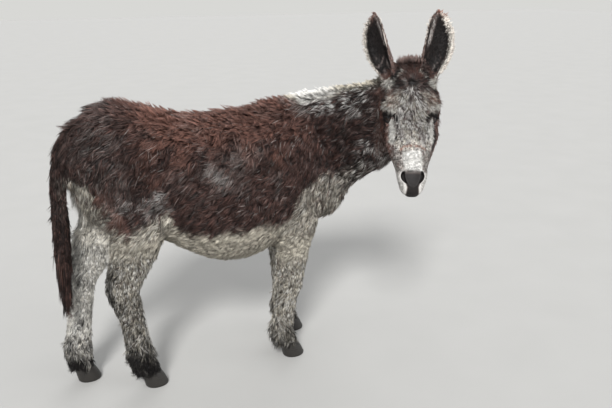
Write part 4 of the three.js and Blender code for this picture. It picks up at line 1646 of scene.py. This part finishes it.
def long_hair(name, weights, count, stations, aim, length, width, lift, curl, seed, share=0.12, clump=0.7,
              recolour=None, fan=1.0):
    """One piece of long blades. aim is a direction per skin point, and length a number or one per point."""
    local = np.random.default_rng(seed)
    triangle, inside = scatter(weights, count, seed)
    roots = at_roots(places, triangle, inside)
    up = unit(at_roots(normals, triangle, inside))
    lies = unit(at_roots(aim, triangle, inside))
    leaders = np.flatnonzero(local.random(count) < share)
    leader = leaders[nearest_of(roots, roots[leaders])]
    turn = (local.normal(size=count) * 0.16)[leader] + local.normal(size=count) * 0.08
    lies = unit(lies + np.cross(up, lies) * (fan * turn)[:, None])
    reach = at_roots(length * np.ones(len(places)), triangle, inside)
    lengths = reach * local.lognormal(0, 0.20, count)[leader] * local.lognormal(0, 0.10, count)
    widths = width * local.uniform(0.7, 1.3, count)
    lifts = lift * local.uniform(0.5, 1.5, count)[leader]
    own_kinds = {key: at_roots(values, triangle, inside) for key, values in kinds.items()}
    own_masks = markings(roots, up, own_kinds)
    tone = 0.6 * local.random(count)[leader] + 0.4 * local.random(count)
    if recolour is not None:
        own_masks, tone = recolour(own_masks, tone, local, roots)
    points, faces, along = blades(
        roots, up, lies, lengths, widths, lifts, curl * np.ones(count), stations, local, clump, leader,
    )
    coat_piece(name, points, faces, along, own_masks, tone, map_at_roots(triangle, inside))
    print(name, tally[name], "triangles, coat now", sum(tally.values()))


print("coat before the long hair:", sum(tally.values()), "triangles")

# %% [markdown]
# The switch of the tail hangs straight and dark, with some reddish strands. Its strands grow longer the
# higher they are rooted, so that they end together.

# %% Switch of the tail
REDDISH_SHARE = 0.16


def tail_colours(masks, tone, local, roots):
    masks = masks * [0.1, 0.2, 0.0, 1.0, 0.0] + [0, 0, 0, 0.30, 0]
    reddish = local.random(len(roots)) < REDDISH_SHARE
    masks[reddish, 2] = 0.35
    masks[reddish, 3] = 0.30
    return np.clip(masks, 0, 1), tone


down = np.zeros_like(places) + [-0.05, 0, -1]
switch_weight = is_tail * ramp(z, 0.90, 0.80)
switch_aim = along_skin(down, normals) + 0.5 * down
switch_length = np.clip((z - 0.36) * 0.80, 0.010, 0.125)
long_hair(
    "tail_switch", switch_weight, count=2700, stations=6, aim=switch_aim, length=switch_length,
    width=0.0030, lift=0.0005, curl=0.030, seed=61, clump=0.6, recolour=tail_colours, fan=0.35,
)

# %% [markdown]
# The mane is a low crest of locks that stand up and fall to the right side. It is light where the crest
# is light, whitest in the middle, and rusty towards both ends. The light locks also get painted light: a
# tone above 1 makes them brighter than their own colour, as if lit from behind.

# %% Mane
CREST_LINE = [
    (0.300, 0.0, 1.07), (0.372, 0.0, 1.108), (0.442, -0.035, 1.130),
    (0.520, -0.115, 1.160), (0.590, -0.230, 1.185), (0.645, -0.330, 1.215),
]


def mane_colours(masks, tone, local, roots):
    place = in_body(roots)[:, 0]
    whitest = ramp(place, 0.34, 0.38) * ramp(place, 0.53, 0.47)
    light = ramp(place, 0.34, 0.38) * ramp(place, 0.63, 0.57) * (0.85 + 0.15 * whitest)
    light *= 1.1 - (0.7 - 0.4 * whitest) * local.random(len(roots))
    masks[:, 0] = np.maximum(masks[:, 0], light)
    masks[:, 2] = 0.5 * (1 - whitest)
    masks[:, 3] *= np.clip(1 - light, 0, 1)
    masks[:, 4] = whitest
    # Painted light: a tone above 1 makes the light locks brighter than their own colour.
    return np.clip(masks, 0, 1), np.maximum(tone, 1.05 * light)


on_crest = path(body, CREST_LINE, 0.026) * (normals[:, 2] > 0.2)
mane_aim = normals * 0.30 + np.array([-0.60, -0.10, 0.10])
mane_length = 0.038 - 0.014 * ramp(x, 0.46, 0.54)
long_hair(
    "mane", on_crest, count=2800, stations=4, aim=mane_aim, length=mane_length,
    width=0.0030, lift=0.006, curl=0.20, seed=62, clump=0.5, recolour=mane_colours,
)

# %% [markdown]
# The forelock stands up between the ears and falls forward over the forehead, darker in front.

# %% Forelock
FORELOCK = [-0.010, 0, 0.0]


def forelock_colours(masks, tone, local, roots):
    high = ramp(in_head(roots)[:, 0], 0.005, -0.025)[:, None]
    masks = masks * [0.2, 0.4, 0.6, 0.8, 0.0]
    masks = masks + high * [0, 0.20, 0.15, 0.10, 0] + (1 - high) * [0, 0, 0, 0.45, 0]
    return np.clip(masks, 0, 1), tone * (1 + 0.25 * high[:, 0])


from_forelock = np.linalg.norm((heads - FORELOCK) * [1, 0.85, 0.4], axis=1)
on_top = ramp(face_x, 0.005, -0.025)[:, None]
forward_aim = head_axes[:, 0] + normals * 0.12
upward_aim = normals * 0.3 + [0.0, 0.0, 0.8]
long_hair(
    "forelock", is_head * ramp(from_forelock, 0.050, 0.028), count=2000, stations=4,
    aim=(1 - on_top) * forward_aim + on_top * upward_aim, length=0.018,
    width=0.0016, lift=0.003, curl=0.30, seed=63, share=0.20, clump=0.30, recolour=forelock_colours,
)

# %% [markdown]
# The fringes of the ears are pale hair that points outwards and up from the outer rims, and russet near
# the tips. Their added white and high tone are painted light, the glow of rims lit from behind. How
# far up the ear a hair is rooted is read from the nearest point of the skin.

# %% Ear fringes
ear_points = np.flatnonzero(is_ear)


def fringe_colours(masks, tone, local, roots):
    height = rise[ear_points[nearest_of(roots, places[ear_points])]]
    masks[:, 0] = 0.95 * local.random(len(roots)) ** 0.6 * ramp(height, 0.96, 0.82)
    masks[:, 2] = np.maximum(0.4 * masks[:, 2], ramp(height, 0.82, 0.92))
    masks[:, 3] = 0
    # Painted light: white and a high tone make the pale fringes glow as if lit from behind.
    masks[:, 4] = 0.7 * masks[:, 0]
    return masks, 0.90 + 0.15 * tone


fringe_weight = is_ear * rim * ramp(rise, 0.02, 0.08) * (1 + 1.2 * ramp(rise, 0.88, 0.95))
fringe_weight *= np.where(part == "ear_left", 1, 0.5)
long_hair(
    "ear_fringe", fringe_weight, count=4200, stations=3, aim=ear_up * 0.75 + ear_out, length=0.0115,
    width=0.0019, lift=0.003, curl=0.20, seed=64, share=0.10, clump=0.75, recolour=fringe_colours,
)

# %% [markdown]
# Wisps stand up along the back, from the withers to the croup, in patches where random hills are high.

# %% Wisps on the back
wisp_hills = ripples(places, 0.05, 71)
wisp_weight = (part == "trunk") * ramp(normals[:, 2], 0.55, 0.85) * ramp(z, 0.92, 0.98) * (wisp_hills > 0.0)
wisp_aim = lie + normals * (0.40 + 0.60 * ramp(wisp_hills, 0.4, 1.2))[:, None]
long_hair(
    "back_wisps", wisp_weight, count=3600, stations=4, aim=wisp_aim, length=0.044,
    width=0.0026, lift=0.010, curl=0.20, seed=65, share=0.10, clump=0.80,
)

# %% [markdown]
# Lashes are short dark bristles in a row along each upper lid, just above the opening.

# %% Lashes


def lash_colours(masks, tone, local, roots):
    return masks * 0 + [0, 0, 0, 1, 0], tone * 0.4


lash_weight = np.zeros(len(places))
for side in (1, -1):
    away = heads - EYE_SEAT * [1, side, 1]
    above = away @ unit(np.array([-0.75, 0.35 * side, 0.35]))
    close = np.linalg.norm(away, axis=1) < EYE_RADIUS + 0.0045
    in_front = away @ eye_axes(side)[0] > 0.010
    lash_weight += is_head * close * (above > 0.0065) * (above < 0.012) * in_front
lash_aim = (np.array([0.20, 0, 0.55]) + [0, 0.75, 0] * np.sign(heads[:, 1:2])) @ head_axes.T
long_hair(
    "lashes", lash_weight, count=420, stations=3, aim=lash_aim, length=0.011,
    width=0.0007, lift=0.0, curl=0.15, seed=66, clump=0.3, recolour=lash_colours,
)

# %% [markdown]
# ## Eyes
#
# A donkey's eye is a large dark ball with a brown iris and a level slit of a pupil. Iris and pupil are
# masks on the points, like the markings of the coat. The ball is very smooth, for a clear highlight.

# %% Eye material
eye_material = bpy.data.materials.new("eye")
eye_material.use_nodes = True
eye_tree = eye_material.node_tree
eye_shader = eye_tree.nodes["Principled BSDF"]
eye_shader.inputs["Roughness"].default_value = 0.06
eye_shader.inputs["Specular IOR Level"].default_value = 0.6
iris_amount = eye_tree.nodes.new("ShaderNodeAttribute")
iris_amount.attribute_name = "iris"
pupil_amount = eye_tree.nodes.new("ShaderNodeAttribute")
pupil_amount.attribute_name = "pupil"
eye_place = eye_tree.nodes.new("ShaderNodeTexCoord")
iris_noise = noise(eye_tree, eye_place.outputs["Object"], 900.0)
iris_colour = mix_colour(eye_tree, iris_noise, srgb(22, 14, 10), srgb(44, 29, 20))
ball_colour = mix_colour(eye_tree, iris_amount.outputs["Fac"], srgb(26, 20, 18), iris_colour)
eye_colour = mix_colour(eye_tree, pupil_amount.outputs["Fac"], ball_colour, srgb(6, 5, 5))
eye_tree.links.new(eye_colour, eye_shader.inputs["Base Color"])
print("eye material has", len(eye_tree.nodes), "nodes")

# %% [markdown]
# A ready-made sphere has no cornea. So each eyeball is a closed ball of rings around the gaze, which bulge
# a little in front. Rings like these also make the hooves, so the helper that joins them is made first.

# %% Skin over rings


def ring_faces(rings, around, first_cap, last_cap):
    """Triangles between neighbouring rings, and fans that close the first and the last ring."""
    faces = []
    for r in range(rings - 1):
        for a in range(around):
            here, right = r * around + a, r * around + (a + 1) % around
            faces += [[here, right, here + around], [right, right + around, here + around]]
    last = (rings - 1) * around
    for a in range(around):
        faces += [[first_cap, (a + 1) % around, a], [last_cap, last + a, last + (a + 1) % around]]
    return np.array(faces)


print("a ball of two rings of eight points has", len(ring_faces(2, 8, 16, 17)), "triangles")

# %% Eyeballs
EYE_RINGS = 39
EYE_AROUND = 56
EYE_PLAY = 0.0004
CORNEA = 0.0011


def ball(seat, gaze, level, across):
    """A closed eyeball in the head's frame."""
    angles = np.linspace(0, math.pi, EYE_RINGS + 2)[1:-1]
    spin = np.linspace(0, 2 * math.pi, EYE_AROUND, endpoint=False)
    radius = EYE_RADIUS - EYE_PLAY + CORNEA * ramp(np.degrees(angles), 46, 18)
    level_part = np.outer(np.sin(angles) * radius, np.cos(spin))
    across_part = np.outer(np.sin(angles) * radius, np.sin(spin))
    front_part = np.outer(np.cos(angles) * radius, np.ones(EYE_AROUND))
    grid = front_part[..., None] * gaze + level_part[..., None] * level + across_part[..., None] * across
    poles = np.array([gaze * (EYE_RADIUS - EYE_PLAY + CORNEA), -gaze * EYE_RADIUS])
    points = np.concatenate([grid.reshape(-1, 3), poles])
    faces = ring_faces(EYE_RINGS, EYE_AROUND, len(points) - 2, len(points) - 1)[:, ::-1]
    mesh = mesh_from("globe", from_head(points + seat), faces)
    from_gaze = np.append(np.repeat(np.degrees(angles), EYE_AROUND), [0, 180])
    u, v = points @ level / EYE_RADIUS, points @ across / EYE_RADIUS
    give(mesh, "iris", ramp(from_gaze, 44, 38))
    give(mesh, "pupil", ramp((u / 0.36) ** 2 + (v / 0.17) ** 2, 1.25, 0.85) * (from_gaze < 90))
    return mesh


for side, name in ((-1, "right"), (1, "left")):
    globe_mesh = ball(EYE_SEAT * [1, side, 1], *eye_axes(side))
    globe = object_from("globe_" + name, globe_mesh, eye_material)
    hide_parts("eye_" + name)
    print(globe.name, len(globe_mesh.polygons), "triangles")

# %% [markdown]
# ## Hooves
#
# A donkey's hoof is small, upright and boxy, with faint growth rings round the wall. Its horn is nearly
# black, with fine upright grain and a little dust.

# %% Hoof material
hoof_material = bpy.data.materials.new("hoof")
hoof_material.use_nodes = True
hoof_tree = hoof_material.node_tree
hoof_shader = hoof_tree.nodes["Principled BSDF"]
hoof_shader.inputs["Roughness"].default_value = 0.5
hoof_place = hoof_tree.nodes.new("ShaderNodeTexCoord")
hoof_stretch = hoof_tree.nodes.new("ShaderNodeMapping")
hoof_stretch.inputs["Scale"].default_value = (1.0, 1.0, 0.15)
hoof_tree.links.new(hoof_place.outputs["Object"], hoof_stretch.inputs["Vector"])
horn_grain = noise(hoof_tree, hoof_stretch.outputs["Vector"], 320.0, 3.0)
dust = noise(hoof_tree, hoof_place.outputs["Object"], 45.0, 3.0)
horn = mix_colour(hoof_tree, horn_grain, srgb(17, 16, 15), srgb(34, 31, 28))
horn = mix_colour(hoof_tree, number(hoof_tree, "MULTIPLY", dust, 0.35), horn, srgb(58, 53, 46))
hoof_tree.links.new(horn, hoof_shader.inputs["Base Color"])
hoof_bump = hoof_tree.nodes.new("ShaderNodeBump")
hoof_bump.inputs["Distance"].default_value = 0.0008
hoof_tree.links.new(horn_grain, hoof_bump.inputs["Height"])
hoof_tree.links.new(hoof_bump.outputs["Normal"], hoof_shader.inputs["Normal"])
print("hoof material has", len(hoof_tree.nodes), "nodes")

# %% [markdown]
# The wall of a hoof leans, narrows towards the heel and has rings. A box with rounded edges would miss
# all three, so the hoof is lofted through rounded ovals, from the flat sole to the coronet, and closed at
# both ends. It fills the same box as its solid, so it stands on the floor just as the solid does.

# %% Hooves
HOOF_LEVELS = 26
HOOF_AROUND = 64
HOOF_PROFILE = [0, 0.15, 0.6, 1]
BOXINESS = 0.87
SOLE_CHAMFER = 0.002
RING_HEIGHT = 0.0005


def hoof(name, solid_name):
    low, high = (np.array(c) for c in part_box(solid_name))
    spin = np.linspace(0, 2 * math.pi, HOOF_AROUND, endpoint=False)
    c, s = np.cos(spin), np.sin(spin)
    to_toe = np.sign(c) * np.abs(c) ** BOXINESS
    to_side = np.sign(s) * np.abs(s) ** BOXINESS * (1 - 0.10 * np.clip(c, 0, 1))
    middle_y = (low[1] + high[1]) / 2
    rings = []
    for k in range(HOOF_LEVELS + 1):
        t = k / HOOF_LEVELS
        toe = high[0] - np.interp(t, HOOF_PROFILE, [0.001, 0, 0.013, 0.028])
        heel = low[0] + np.interp(t, HOOF_PROFILE, [0.014, 0.012, 0.006, 0])
        half_wide = (high[1] - low[1]) / 2 * np.interp(t, HOOF_PROFILE, [0.975, 1.0, 0.97, 0.90])
        growth = RING_HEIGHT * math.sin(t * 46) * (0.1 < t < 0.95)
        grown = growth - SOLE_CHAMFER * (k == 0)
        px = (toe + heel) / 2 + ((toe - heel) / 2 + grown) * to_toe
        py = middle_y + (half_wide + grown) * to_side
        rings.append(np.stack([px, py, np.full(HOOF_AROUND, low[2] + (high[2] - low[2]) * t)], axis=1))
    points = np.concatenate(rings + [rings[0].mean(axis=0)[None], rings[-1].mean(axis=0)[None]])
    faces = ring_faces(HOOF_LEVELS + 1, HOOF_AROUND, len(points) - 2, len(points) - 1)
    piece = object_from(name, mesh_from(name, points, faces), hoof_material)
    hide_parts(solid_name)
    print(name, len(faces), "triangles")


for solid_name in ("forehoof_right", "forehoof_left", "hindhoof_right", "hindhoof_left"):
    hoof(solid_name.replace("hoof", "_hoof"), solid_name)

# %% [markdown]
# ## Floor and light
#
# A pale plain floor under an evenly bright sky. The floor isn't part of the animal, so it is only staged.

# %% Floor
FLOOR_REACH = 30.0

floor_material = bpy.data.materials.new("floor")
floor_material.use_nodes = True
floor_tree = floor_material.node_tree
floor_shader = floor_tree.nodes["Principled BSDF"]
floor_shader.inputs["Roughness"].default_value = 0.9
floor_place = floor_tree.nodes.new("ShaderNodeTexCoord")
floor_noise = noise(floor_tree, floor_place.outputs["Object"], 3.0)
floor_colour = mix_colour(floor_tree, floor_noise, srgb(166, 165, 162), srgb(172, 171, 168))
floor_tree.links.new(floor_colour, floor_shader.inputs["Base Color"])

floor_corners = FLOOR_REACH * np.array([[-1, -1, 0], [1, -1, 0], [1, 1, 0], [-1, 1, 0]])
floor_mesh = mesh_from("floor", floor_corners, np.array([[0, 1, 2], [0, 2, 3]]), smooth=False)
floor = bpy.data.objects.new("floor", floor_mesh)
bpy.context.scene.collection.objects.link(floor)
floor.data.materials.append(floor_material)
print("floor of", 2 * FLOOR_REACH, "metres")

# %% [markdown]
# The main light shines from high behind the viewer, a little to the left, a weaker one from the right
# and another from behind the animal. All have a wide face, so that shadows stay soft.

# %% Lights


def sky_light(name, toward, face_degrees, strength):
    """A sun with a wide face, so that it lights evenly and its shadows are soft."""
    data = bpy.data.lights.new(name, "SUN")
    data.angle = math.radians(face_degrees)
    data.energy = strength
    light = bpy.data.objects.new(name, data)
    light.rotation_euler = Vector(toward).to_track_quat("-Z", "Y").to_euler()
    bpy.context.scene.collection.objects.link(light)
    print("light", name, "shines toward", toward)


sky_light("key", (0.46, 0.76, -0.66), 14, 3.9)
sky_light("fill", (-0.8, 0.6, -0.40), 60, 0.6)
sky_light("rim", (-0.4, -0.8, -0.7), 40, 0.7)

# %% [markdown]
# The air gives an even light from all around. The camera sees a plain pale backdrop of its own, so that
# the light on the animal can be set without changing the background. The light path node chooses.

# %% Air
world = bpy.data.worlds.new("air")
bpy.context.scene.world = world
world.use_nodes = True
air = world.node_tree
lighting = air.nodes["Background"]
lighting.inputs["Color"].default_value = srgb(238, 240, 243)
lighting.inputs["Strength"].default_value = 0.78
backdrop = air.nodes.new("ShaderNodeBackground")
backdrop.inputs["Color"].default_value = srgb(216, 216, 213)
ray = air.nodes.new("ShaderNodeLightPath")
choose = air.nodes.new("ShaderNodeMixShader")
air.links.new(ray.outputs["Is Camera Ray"], choose.inputs[0])
air.links.new(lighting.outputs[0], choose.inputs[1])
air.links.new(backdrop.outputs[0], choose.inputs[2])
air.links.new(choose.outputs[0], air.nodes["World Output"].inputs["Surface"])
print("air has", len(air.nodes), "nodes")
